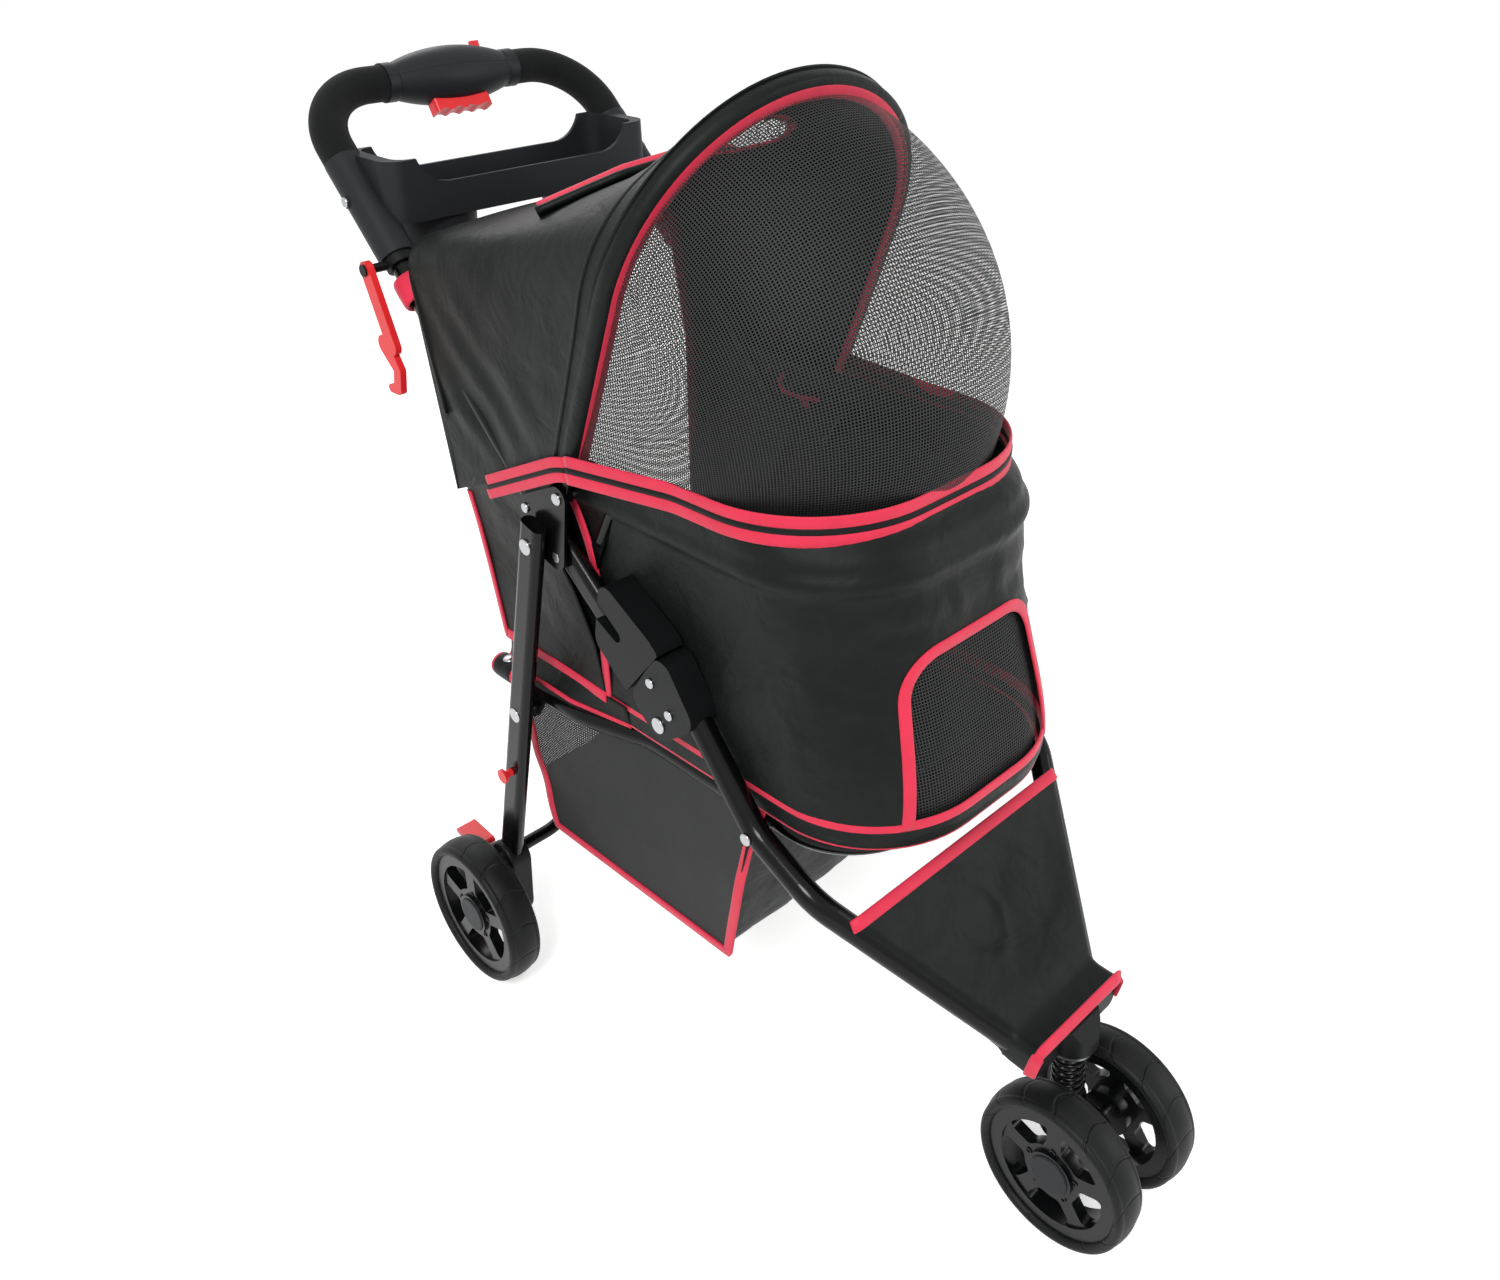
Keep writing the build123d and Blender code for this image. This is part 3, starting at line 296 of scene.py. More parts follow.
def wheel_tyre():
    """Foamed tyre: matt black with slanted sipes moulded round the shoulders."""
    finish = blank("foamed_tyre")
    place = add(finish, "TexCoord").outputs
    centred = add(finish, "VectorMath", {0: place["Generated"], 1: (0.5, 0.5, 0.5)}, operation="SUBTRACT")
    parts = add(finish, "SeparateXYZ", {"Vector": centred.outputs["Vector"]})
    angle = add(finish, "Math", {0: parts.outputs["Z"], 1: parts.outputs["Y"]}, operation="ARCTAN2")
    reach = add(finish, "VectorMath", {0: centred.outputs["Vector"], 1: (0, 1, 1)}, operation="MULTIPLY")
    radius = add(finish, "VectorMath", {0: reach.outputs["Vector"]}, operation="LENGTH")
    sweep = add(finish, "Math", {0: radius.outputs["Value"], 1: sipe_slant}, operation="MULTIPLY")
    turns = add(finish, "Math", {0: angle.outputs[0], 1: sipe_count, 2: sweep.outputs[0]},
                operation="MULTIPLY_ADD")
    wave = add(finish, "Math", {0: turns.outputs[0]}, operation="SINE")
    sipe = add(finish, "MapRange", {"Value": wave.outputs[0], "From Min": 0.93, "From Max": 0.99})
    zone = add(finish, "MapRange", {"Value": radius.outputs["Value"], "From Min": 0.42, "From Max": 0.44})
    cut = add(finish, "Math", {0: sipe.outputs["Result"], 1: zone.outputs["Result"]}, operation="MULTIPLY")
    depth = add(finish, "Math", {0: 1.0, 1: cut.outputs[0]}, operation="SUBTRACT")
    dust = add(finish, "TexNoise", {"Vector": place["Object"], "Scale": spots(tyre_dust_mm), "Detail": 6.0})
    tone = add(finish, "Mix", {"Factor": dust.outputs["Fac"], "A": linear("#0d0e0f"),
                               "B": linear("#1a1b1c")}, data_type="RGBA")
    bump = add(finish, "Bump", {"Height": depth.outputs[0], "Strength": 0.9, "Distance": 1.6 * mm})
    return shade(finish, {"Base Color": tone.outputs[2], "Roughness": 0.5, "Normal": bump.outputs["Normal"],
                          "Specular IOR Level": 0.18})


# %% [markdown]
# ## Rigid pieces get their finishes
# Every rigid piece names its material, so one table dresses them all. The rims are the same nylon as the
# housings but glossier.

# %% Rigid finishes
paint = coated_steel()
rivet_steel = plated_steel("nickel_plated_steel", "#b4b5b8", 0.2)
satin_plastic = moulded_plastic("satin_black_nylon", "#0c0d0e", 0.24, 0.5, 0.22)
rigid_finish = {
    "black_steel": paint,
    "bright_steel": rivet_steel,
    "axle_steel": plated_steel("turned_steel", "#8f9092", 0.34),
    "black_plastic": moulded_plastic("black_nylon", "#0f1011", 0.42, 0.6),
    "grey_plastic": moulded_plastic("grey_polypropylene", "#242629", 0.46, 0.7),
    "red_plastic": moulded_plastic("red_acetal", "#e0262a", 0.34, 0.4, 0.4),
    "foam": grip_foam(),
    "tyre": wheel_tyre(),
    "board": moulded_plastic("pressed_board", "#1c1916", 0.8, 1.2),
}
for part in frame["record"]["subparts"]:
    finish = rigid_finish.get(part["material_slot"])
    if "_rim_" in part["node"]:
        finish = satin_plastic
    if finish:
        materials = frame["nodes"][part["node"]].data.materials
        materials.clear()
        materials.append(finish)
print("rigid finishes", len(rigid_finish) + 1)

# %% [markdown]
# ## Cloth finishes
# Oxford polyester shows its threads as a fine grid with a dull sheen; the raised crossings of the threads
# are painted lighter, a painted highlight. The real thread is about 0.5 mm;
# it is drawn at 1.1 mm, because a finer one wouldn't show. The mesh is an open net of black threads,
# and the binding is a ribbed crimson tape.

# %% Cloth, mesh and tape
thread_mm = 1.1
net_mm = 2.8
net_thread_mm = 1.05
dense_hole_share = 0.2
fade_mm = 55.5556
crumple_mm = 19.2308
hair_mm = 0.55556
wear_mm = 11.1111
# At scale 1 a wave texture has 20 / (2 pi) bands in a metre.
thread_scale = 2 * math.pi / (20 * thread_mm * mm)


def woven_cloth(name, code, lighter, laid_by="UV"):
    """Oxford polyester: two crossing sets of threads, faded here and there, with a soft sheen and a painted
    highlight on the raised crossings.
    """
    finish = blank(name)
    place = add(finish, "TexCoord").outputs
    threads = {"Vector": place[laid_by], "Scale": thread_scale}
    warp = add(finish, "TexWave", threads, bands_direction="X")
    weft = add(finish, "TexWave", threads, bands_direction="Y")
    weave = add(finish, "Math", {0: warp.outputs["Fac"], 1: weft.outputs["Fac"]}, operation="MULTIPLY")
    fade = add(finish, "TexNoise", {"Vector": place["Object"], "Scale": spots(fade_mm), "Detail": 7.0,
                                    "Roughness": 0.65})
    depth = add(finish, "MapRange", {"Value": fade.outputs["Fac"], "From Min": 0.3, "From Max": 0.75})
    tone = add(finish, "Mix", {"Factor": depth.outputs["Result"], "A": linear(code), "B": linear(lighter)},
               data_type="RGBA")
    # Painted highlight: where the weave is raised, the thread crossings are painted towards the lighter
    # colour.
    lit = add(finish, "Mix", {"Factor": weave.outputs[0], "A": tone.outputs[2], "B": linear(lighter)},
              data_type="RGBA")
    crumple = add(finish, "TexNoise", {"Vector": place["Object"], "Scale": spots(crumple_mm), "Detail": 3.0,
                                       "Distortion": 0.5})
    soft = add(finish, "Bump", {"Height": crumple.outputs["Fac"], "Strength": 0.5, "Distance": 6 * mm})
    bump = add(finish, "Bump", {"Height": weave.outputs[0], "Strength": 0.28, "Distance": 0.4 * mm,
                                "Normal": soft.outputs["Normal"]})
    return shade(finish, {"Base Color": lit.outputs[2], "Roughness": 0.42, "Normal": bump.outputs["Normal"],
                          "Specular IOR Level": 0.13, "Sheen Weight": 0.01, "Sheen Roughness": 0.4})


def open_net(name, code, hole_share):
    """Knitted net: threads on a square grid, with nothing between them."""
    finish = blank(name)
    place = add(finish, "TexCoord").outputs
    cells = add(finish, "VectorMath", {0: place["UV"], "Scale": 1 / (net_mm * mm)}, operation="SCALE")
    inside = add(finish, "VectorMath", {0: cells.outputs["Vector"]}, operation="FRACTION")
    parts = add(finish, "SeparateXYZ", {"Vector": inside.outputs["Vector"]})
    across = add(finish, "Math", {0: parts.outputs["X"], 1: hole_share}, operation="GREATER_THAN")
    along = add(finish, "Math", {0: parts.outputs["Y"], 1: hole_share}, operation="GREATER_THAN")
    thread = add(finish, "Math", {0: across.outputs[0], 1: along.outputs[0]}, operation="MAXIMUM")
    hairs = add(finish, "TexNoise", {"Vector": place["Object"], "Scale": spots(hair_mm)})
    tone = add(finish, "Mix", {"Factor": hairs.outputs["Fac"], "A": linear(code), "B": linear("#1d1f1f")},
               data_type="RGBA")
    return shade(finish, {"Base Color": tone.outputs[2], "Roughness": 0.7, "Alpha": thread.outputs[0]})


def binding_tape(name, code, deeper):
    """Ribbed polyester tape: ribs across it, and a colour that wear has made a little uneven."""
    finish = blank(name)
    place = add(finish, "TexCoord").outputs
    ribs = add(finish, "TexWave", {"Vector": place["UV"], "Scale": thread_scale}, bands_direction="X")
    wear = add(finish, "TexNoise", {"Vector": place["Object"], "Scale": spots(wear_mm), "Detail": 5.0})
    tone = add(finish, "Mix", {"Factor": wear.outputs["Fac"], "A": linear(deeper), "B": linear(code)},
               data_type="RGBA")
    bump = add(finish, "Bump", {"Height": ribs.outputs["Fac"], "Strength": 0.25, "Distance": 0.4 * mm})
    return shade(finish, {"Base Color": tone.outputs[2], "Roughness": 0.6, "Normal": bump.outputs["Normal"],
                          "Sheen Weight": 0.15})


cloth = woven_cloth("oxford_polyester", "#070a09", "#161b19")
pad_cloth = woven_cloth("quilted_polyester", "#101212", "#1f2222", "Object")
net = open_net("knitted_net", "#0d0e0e", 1 - net_thread_mm / net_mm)
dense_net = open_net("dense_net", "#0b0c0c", dense_hole_share)
tape_red = binding_tape("crimson_tape", "#e62048", "#c81038")
zip_black = moulded_plastic("zip_nylon", "#0e0f10", 0.5, 0.5)
print("thread drawn at", thread_mm, "mm, net at", net_mm, "mm")

# %% [markdown]
# ## Sewing tools
# All the soft pieces are grids of points: a sheet is rows of points, and a tape is a flat ring carried
# along a path. First come the small measures that the rest is written with.

# %% Small measures
both_sides = (("right", -1), ("left", 1))
flip = Vector((-1, 1, 1))


def spot(x, y, z):
    """Point given in millimetres."""
    return Vector((x, y, z)) * mm


def mix(a, b, share):
    """Value between two others."""
    return a + (b - a) * share


def clamp(value):
    """Value kept between 0 and 1."""
    return min(max(value, 0.0), 1.0)


def between(knots, at):
    """Value at one place on a line of knots."""
    for low, high in zip(knots, knots[1:]):
        if at <= high[0]:
            return mix(low[1], high[1], (at - low[0]) / (high[0] - low[0]))
    return knots[-1][1]


def sheet_rows(high, wide, place):
    """Rows of points, where place gives the point for a share of the rows and a share of the row."""
    return [[place(r / (high - 1), c / (wide - 1)) for c in range(wide)] for r in range(high)]


def circle(steps):
    """Even angles of a full turn."""
    return [2 * math.pi * k / steps for k in range(steps)]


# %% [markdown]
# ## Sheets
# A sheet's UVs hold real lengths in metres, so that the weave keeps its size on every piece. Cloth is made
# as a single layer, cut where it has a hole, and given its thickness last. Net stays a single layer.

# %% Sheets
cloth_thick = 1.4 * mm


def grid(name, rows, finish, ring=False, loop=False):
    """Mesh object from rows of points: ring joins each row's ends, loop joins the last row to the first."""
    high = len(rows)
    wide = len(rows[0])
    cells = [(r, c) for r in range(high if loop else high - 1) for c in range(wide if ring else wide - 1)]
    faces = []
    for r, c in cells:
        below = r * wide
        above = (r + 1) % high * wide
        right = (c + 1) % wide
        faces.append((below + c, below + right, above + right, above + c))
    data = bpy.data.meshes.new(name)
    data.from_pydata([point for row in rows for point in row], [], faces)
    run_r = [0.0]
    for r in range(high):
        run_r.append(run_r[-1] + (rows[(r + 1) % high][wide // 2] - rows[r][wide // 2]).length)
    run_c = [0.0]
    for c in range(wide):
        run_c.append(run_c[-1] + (rows[high // 2][(c + 1) % wide] - rows[high // 2][c]).length)
    corners = [(rr, cc) for r, c in cells for rr, cc in ((r, c), (r, c + 1), (r + 1, c + 1), (r + 1, c))]
    uv = data.uv_layers.new(name="lengths")
    for n, (rr, cc) in enumerate(corners):
        uv.data[n].uv = (run_r[rr], run_c[cc])
    data.polygons.foreach_set("use_smooth", [True] * len(data.polygons))
    made = bpy.data.objects.new(name, data)
    bpy.context.collection.objects.link(made)
    data.materials.append(finish)
    return made


def bake(made):
    """Apply every modifier of a piece."""
    bpy.context.view_layer.update()
    solid = bpy.data.meshes.new_from_object(made.evaluated_get(bpy.context.evaluated_depsgraph_get()))
    made.modifiers.clear()
    made.data = solid


def thicken(made, offset=0.0):
    """Give a sheet the cloth's thickness: offset -1 against its normals, 0 both ways, 1 along them."""
    step = made.modifiers.new("thickness", "SOLIDIFY")
    step.thickness = cloth_thick
    step.offset = offset
    bake(made)


def open_hole(made, inside):
    """Take out the faces whose middle lies inside a shape."""
    shell = bmesh.new()
    shell.from_mesh(made.data)
    gone = [face for face in shell.faces if inside(face.calc_center_median())]
    bmesh.ops.delete(shell, geom=gone, context="FACES")
    shell.to_mesh(made.data)
    shell.free()


def cloth_sheet(name, rows, holes=(), offset=0.0, ring=False):
    """Sheet of the cabin's cloth, with its holes cut and its thickness given."""
    made = grid(name, rows, cloth, ring=ring)
    for inside in holes:
        open_hole(made, inside)
    thicken(made, offset)
    return made


def net_sheet(name, rows, finish=net, ring=False):
    """Sheet of net: one layer, because its holes are in the finish."""
    made = grid(name, rows, finish, ring=ring)
    return made


def close_ends(made):
    """Fill the open ends of a tube."""
    shell = bmesh.new()
    shell.from_mesh(made.data)
    bmesh.ops.holes_fill(shell, edges=[e for e in shell.edges if e.is_boundary])
    shell.to_mesh(made.data)
    shell.free()


# %% [markdown]
# ## Lines and tapes
# A line is drawn through a few corners, rounded and then cut into even steps. A binding is a flat ring of
# points that goes along such a line, as the folded tape goes along an edge.

# %% Lines and tapes


def tape(name, path, outward, width=11, thick=3, finish=tape_red, loop=False, sides=12):
    """Flat folded band along a path, facing outward: one way for each point, or one for the whole path."""
    rows = []
    last = len(path) - 1
    ways = [outward] * len(path) if isinstance(outward, Vector) else outward
    for n, here in enumerate(path):
        before = path[n - 1] if n or loop else here
        after = path[(n + 1) % len(path)] if n < last or loop else here
        ahead = (after - before).normalized()
        out = (ways[n] - ahead * ways[n].dot(ahead)).normalized()
        across = ahead.cross(out)
        ring = []
        for turn in circle(sides):
            flat = math.copysign(abs(math.cos(turn)) ** 0.45, math.cos(turn))
            rise = math.copysign(abs(math.sin(turn)) ** 0.8, math.sin(turn))
            ring.append(here + across * (width / 2 * flat * mm) + out * (thick / 2 * rise * mm))
        rows.append(ring)
    made = grid(name, rows, finish, ring=True, loop=loop)
    if not loop:
        close_ends(made)
    return made


def evenly(points, count, loop=False):
    """Points at even distances along a line of points."""
    line = list(points) + [points[0]] if loop else list(points)
    runs = [0.0]
    for a, b in zip(line, line[1:]):
        runs.append(runs[-1] + (b - a).length)
    steps = count if loop else count - 1
    found = []
    n = 0
    for k in range(count):
        goal = runs[-1] * k / steps
        while n < len(runs) - 2 and runs[n + 1] < goal:
            n += 1
        span = max(runs[n + 1] - runs[n], 1e-9)
        found.append(line[n].lerp(line[n + 1], (goal - runs[n]) / span))
    return found


def rounded(corners, radii, arc_steps=14):
    """Line through corners, each one rounded by its radius."""
    found = []
    count = len(corners)
    for n, corner in enumerate(corners):
        if not radii[n]:
            found.append(corner.copy())
            continue
        back = (corners[n - 1] - corner).normalized()
        ahead = (corners[(n + 1) % count] - corner).normalized()
        half = back.angle(ahead) / 2
        reach = radii[n] / math.tan(half)
        centre = corner + (back + ahead).normalized() * (radii[n] / math.sin(half))
        start = corner + back * reach - centre
        end = corner + ahead * reach - centre
        for k in range(arc_steps + 1):
            found.append(centre + start.slerp(end, k / arc_steps).normalized() * radii[n])
    return found


def both_halves(half_line, radii, count):
    """Line from the right side round to the left, given by its right half, rounded and in even steps."""
    mirrored = [p * flip for p in reversed(half_line)]
    return evenly(rounded(half_line + mirrored, radii + radii[::-1]), count)


def level_out(path, centre):
    """Level directions that point away from a centre, square to a path."""
    found = []
    for n, here in enumerate(path):
        ahead = path[min(n + 1, len(path) - 1)] - path[max(n - 1, 0)]
        side = Vector((ahead.y, -ahead.x, 0)).normalized()
        found.append(side if side.dot(here - centre) > 0 else -side)
    return found


# %% [markdown]
# ## Wrinkles
# Sewn cloth shows two kinds of fold: soft waves where it is slack, and sharp lines where it was folded.
# Both are smooth noise at a real size, so every run gives the same folds.

# %% Wrinkles


def ripple(place, size, height, seed):
    """Soft wave of cloth at a place: size in mm across, height in mm."""
    return noise.noise(place / (size * mm) + Vector((seed, seed * 1.7, -seed))) * height * mm


def crease(place, size, height, seed):
    """Sharp fold lines of cloth at a place: size in mm from fold to fold, height in mm."""
    wander = noise.noise(place / (size * mm) + Vector((seed, -seed, seed * 0.6)))
    return max(0.0, 1 - abs(wander) / 0.22) ** 1.5 * height * mm


def wrinkles(place, waves, folds=()):
    """Soft waves and sharp folds together, each one given as its size, height and seed."""
    return sum(ripple(place, *wave) for wave in waves) + sum(crease(place, *fold) for fold in folds)


# %% [markdown]
# ## Arches
# The hoop is an arch: two straight legs and a half circle. It swings about a base line, so an arch at any
# tilt about that line is one formula, and both the hood's front and the net's rows are cut from it.

# %% Arches
base = Vector((0, 66, 632))
hoop_tilt = 113.4
hoop_leg = 175.0


def fan_point(tilt, half, leg, share):
    """Point on an arch in a plane through the hoop's base: share runs from the right foot to the left."""
    length = 2 * leg + math.pi * half
    run = share * length
    if run < leg:
        across, up = -half, run
    elif run > length - leg:
        across, up = half, length - run
    else:
        turn = math.pi - (run - leg) / half
        across, up = half * math.cos(turn), leg + half * math.sin(turn)
    angle = math.radians(tilt)
    return spot(across, base.y + up * math.cos(angle), base.z + up * math.sin(angle))


def fan_line(tilt, half, leg, count):
    """Whole arch at one tilt."""
    return [fan_point(tilt, half, leg, k / (count - 1)) for k in range(count)]


# %% [markdown]
# ## Hood
# The hood is one sheet stretched from the front hoop back to the handle tubes. Between the two it hangs
# a little slack, so its top is a shallow saddle. It could be draped by a simulation, but a sewn hood is
# tight, so its rows are written: each row goes from the hoop's arch to the rear edge's flatter arch.

# %% Hood
hood_half = 165.0
hood_lap_tilt = 1.2
hood_foot = (161.0, 248.0, 554.0)
hood_corner = (165.0, 275.0, 784.0)
hood_crown = (0.0, 271.0, 800.0)
hood_corner_round = 30 * mm
hood_crown_round = 900 * mm
hood_axis = 660 * mm
hood_slack = 27 * mm
hood_draw_in = 0.012
hood_hem_columns = 12
hood_waves = [(95, 4.5, 3.1), (42, 1.5, 8.2)]
hood_fold_way = Vector((0, 0.72, -0.69))
hood_fold_every = 44.0
hood_fold_high = 3.2 * mm
hood_fold_line = -299.0
hood_fold_reach = 75.0
hood_wide = 121
hood_long = 46


def rear_line(count):
    """Rear edge of the hood, from low on the right over the crown to low on the left."""
    right = [spot(*hood_foot) * flip, spot(*hood_corner) * flip]
    line = right + [spot(*hood_crown)] + [p * flip for p in reversed(right)]
    return evenly(rounded(line, [0, hood_corner_round, hood_crown_round, hood_corner_round, 0]), count)


def hood_out(point):
    """Way the hood faces at a place: away from a level line through the cabin."""
    return Vector((point.x, 0, point.z - hood_axis)).normalized()


def pull_folds(point):
    """Slanting folds on the hood's side, along the pull from the cuff down to the zip's tail."""
    off = hood_fold_way.dot(point) / mm - hood_fold_line
    wave = math.sin(2 * math.pi * off / hood_fold_every + noise.noise(point * 14) * 2)
    return wave * hood_fold_high * math.exp(-(off / hood_fold_reach) ** 2)


hood_front = fan_line(hoop_tilt - hood_lap_tilt, hood_half, hoop_leg, hood_wide)
hood_rear = rear_line(hood_wide)
hood_rows = []
for r in range(hood_long):
    share = r / (hood_long - 1)
    pull = math.sin(math.pi * share ** 0.8)
    row = []
    for k in range(hood_wide):
        point = hood_front[k].lerp(hood_rear[k], share)
        top = math.sin(math.pi * k / (hood_wide - 1)) ** 3
        point.z -= hood_slack * pull * top
        point.x *= 1 - hood_draw_in * pull * (1 - top)
        lean = Vector((point.x * 0.4, point.y + point.z * 0.6, point.z - point.y * 0.5))
        swell = wrinkles(lean, hood_waves) + pull_folds(point) * (1 - top)
        hemmed = min(min(k, hood_wide - 1 - k) / hood_hem_columns, 1)
        row.append(point + hood_out(point) * swell * pull ** 0.7 * hemmed)
    hood_rows.append(row)
print("hood", hood_long, "rows of", hood_wide)

# %% [markdown]
# ## Skylight
# An oval of net is let into the hood's top, with a ring of binding round it.

# %% Skylight
skylight_y = 33 * mm
skylight_wide = 64 * mm
skylight_long = 40 * mm
skylight_above = 800 * mm
hood_top_above = 760 * mm
hood_up = Vector((0, 0.4, 0.92))
oval_steps = 72
oval_rings = 9
hood_top = [p for row in hood_rows for p in row if p.z > hood_top_above]


def in_skylight(point):
    """Whether a place on the hood lies in the skylight, seen from above."""
    off = (point.x / skylight_wide) ** 2 + ((point.y - skylight_y) / skylight_long) ** 2
    return point.z > skylight_above and off < 1


def follow_hoop(piece):
    """Bake a piece's placement into its mesh."""
    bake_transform(piece)


def on_hood(across, along):
    """Point on the hood's top at a given x and y, from the points around it."""
    nearest = sorted(hood_top, key=lambda p: (p.x - across) ** 2 + (p.y - along) ** 2)[:4]
    weights = [1 / (math.hypot(p.x - across, p.y - along) + mm) for p in nearest]
    return Vector((across, along, sum(w * p.z for w, p in zip(weights, nearest)) / sum(weights)))


hood = cloth_sheet("hood_cloth", hood_rows, [in_skylight], -1.0)
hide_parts("hood")
follow_hoop(hood)
print("hood", len(hood.data.vertices), "points")

oval = [on_hood(skylight_wide * math.cos(t), skylight_y + skylight_long * math.sin(t))
        for t in circle(oval_steps)]
oval_middle = sum(oval, Vector()) / oval_steps
follow_hoop(tape("skylight_binding", oval, hood_up, 9, loop=True))
oval_rows = [[oval_middle.lerp(p, r / (oval_rings - 1)) for p in oval] for r in range(oval_rings)]
skylight = net_sheet("skylight_net", oval_rows, ring=True)
follow_hoop(skylight)

# %% [markdown]
# ## Rolled flap and hood seam
# The skylight's cover is rolled up behind it and shows as a soft bar with a crimson edge. A stitched seam
# runs round the hood a little behind the hoop.

# %% Rolled flap and seam
roll_line = [(-122, 128), (-62, 92), (0, 84), (62, 92), (122, 128)]
roll_lift = Vector((0, 0, 5 * mm))
roll_edge_out = Vector((0, -0.45, 0.89))
roll_edge_lift = 5 * mm
seam_row = 4
roll_path = evenly([on_hood(x * mm, y * mm) + roll_lift for x, y in roll_line], 40)
roll = tape("flap_roll", roll_path, hood_up, 18, 8, cloth)
roll_edge = tape("flap_binding", [p + roll_edge_out * roll_edge_lift for p in roll_path], roll_edge_out, 12)
seam_path = hood_rows[seam_row][2:-2]
hood_seam = tape("hood_seam", seam_path, [hood_out(p) for p in seam_path], 5, 2.4, cloth)
for piece in (roll, roll_edge, hood_seam):
    follow_hoop(piece)

# %% [markdown]
# ## Hoop sleeve
# The hood's front hem is a sleeve that the wire hoop slides into, with crimson binding on its inner edge.

# %% Hoop sleeve and binding
sleeve_half = 157.5
sleeve_leg = 173.0
sleeve_middle = spot(0, 0, 740)
net_half = 153.0
binding_ahead = 8 * mm
arch_steps = 120
sleeve_line = fan_line(hoop_tilt, sleeve_half, sleeve_leg, arch_steps)
sleeve_out = [(p - sleeve_middle).normalized() for p in sleeve_line]
sleeve = tape("hoop_sleeve", sleeve_line, sleeve_out, 18, 17, cloth)
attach(sleeve, "canopy")
angle = math.radians(hoop_tilt + 90)
forward = Vector((0, math.cos(angle), math.sin(angle)))
binding_line = [p + forward * binding_ahead for p in fan_line(hoop_tilt, net_half, sleeve_leg, arch_steps)]
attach(tape("hoop_binding", binding_line, forward, 13, 2.6), "canopy")

# %% [markdown]
# ## Mesh front
# The net is stretched from the hoop down to the zip and bellies out between them. Its rows fan out round
# the hoop's base, and it is a plain sheet: the holes are in the finish, because thousands of modelled
# ones would only slow the picture.

# %% Mesh front
net_top_tilt = 2.2
rim_tilt = 178.2
rim_half = 146.0
rim_leg = 132.0
belly_half = 7.0
belly_leg = 9.0
net_wide = 121
net_long = 44
net_rows = []
for r in range(net_long):
    share = r / (net_long - 1)
    belly = math.sin(math.pi * share)
    half = mix(net_half, rim_half, share ** 1.4) + belly_half * belly
    leg = mix(sleeve_leg, rim_leg, share ** 1.3) + belly_leg * belly
    net_rows.append(fan_line(mix(hoop_tilt + net_top_tilt, rim_tilt, share), half, leg, net_wide))
net_front = net_sheet("net_front", net_rows)
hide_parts("mesh_front")
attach(net_front, "canopy")
print("net", len(net_front.data.vertices), "points")

# %% [markdown]
# ## Zip band
# Two crimson tapes hold the zip that joins the net to the cabin. The band starts outside the frame behind
# each hinge plate, rises to the hoop's foot and goes round the front. Folding the frame flattens what is
# sewn to the seat; here those pieces get meshes of their own.

# %% Zip band
zip_half = [spot(-170, 178, 581), spot(-169, 66, 634), spot(-149, -56, 640), spot(-146, -213, 641)]
zip_round = [0, 70 * mm, 130 * mm, 112 * mm]
zip_front_to = 60 * mm
zip_tail_from = 55 * mm
band_line = both_halves(zip_half, zip_round, 260)
band_out = level_out(band_line, spot(0, 0, 640))
front_run = [n for n, p in enumerate(band_line) if p.y < zip_front_to]


def crush(piece):
    """Give a piece of the cabin a mesh of its own."""
    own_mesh(piece)


def band_piece(name, run, lift, width, thick, finish, body):
    """One tape of the zip band over part of its path."""
    path = [band_line[n] + Vector((0, 0, lift * mm)) for n in run]
    made = tape(name, path, [band_out[n] for n in run], width, thick, finish)
    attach(made, body)
    if body == "seat_frame":
        crush(made)


band_piece("zip_tape_upper", front_run, 8, 11, 2.6, tape_red, "canopy")
band_piece("zip_tape_lower", front_run, -7, 11, 2.6, tape_red, "seat_frame")
band_piece("zip_teeth", front_run, 1, 6, 3.6, zip_black, "seat_frame")
for side, way in both_sides:
    run = [n for n, p in enumerate(band_line) if p.y >= zip_tail_from and p.x * way > 0]
    band_piece("zip_tail_upper_" + side, run, 7, 10, 2.6, tape_red, "upper_frame")
    band_piece("zip_tail_lower_" + side, run, -6, 10, 2.6, tape_red, "upper_frame")
    band_piece("zip_tail_teeth_" + side, run, 0.5, 5, 3.4, zip_black, "upper_frame")

# %% [markdown]
# ## Cabin
# The cabin is a sewn tub: a D seen from above, round at the front. Its cloth hangs from the rim bow, which
# runs in a channel near the top, and is laced to the seat loop below. So it shows soft slanting creases,
# which come from noise that is stretched along the pull of the cloth.

# %% Tub outline
# Height, half width, front and front radius of the tub, from the floor up over the rim bow's channel.
tub_knots = [(371, 135.0, -264, 103), (386, 136.5, -268, 104), (560, 139.0, -236, 106),
             (586, 140.5, -232, 108), (600, 146.5, -235, 111), (613, 144.0, -229, 111),
             (637, 143.0, -212, 111)]
tub_rear = 236.0
tub_rear_round = 34 * mm
tub_middle_y = -20.0
tub_round = 280


def tub_size(z):
    """Half width, front and front radius of the tub at one height, in mm."""
    for low, high in zip(tub_knots, tub_knots[1:]):
        if z <= high[0]:
            share = (z - low[0]) / (high[0] - low[0])
            share = share * share * (3 - 2 * share)
            return [mix(a, b, share) for a, b in zip(low[1:], high[1:])]
    return list(tub_knots[-1][1:])


def tub_ring(z):
    """Outline of the tub at one height, from the middle of its rear, and the way it faces there."""
    half, front, bend = tub_size(z)
    corners = [spot(half, tub_rear, z), spot(half, front, z), spot(-half, front, z),
               spot(-half, tub_rear, z)]
    outline = rounded(corners, [tub_rear_round, bend * mm, bend * mm, tub_rear_round])
    ring = evenly([spot(0, tub_rear, z)] + outline, tub_round, loop=True)
    return ring, level_out(ring + [ring[0]], spot(0, tub_middle_y, z))


# %% [markdown]
# ## Openings of the cabin
# The front has a window with round upper corners. The rear wall is left out, because a rear panel closes
# it instead. Beside the window's binding the cloth is held flat.

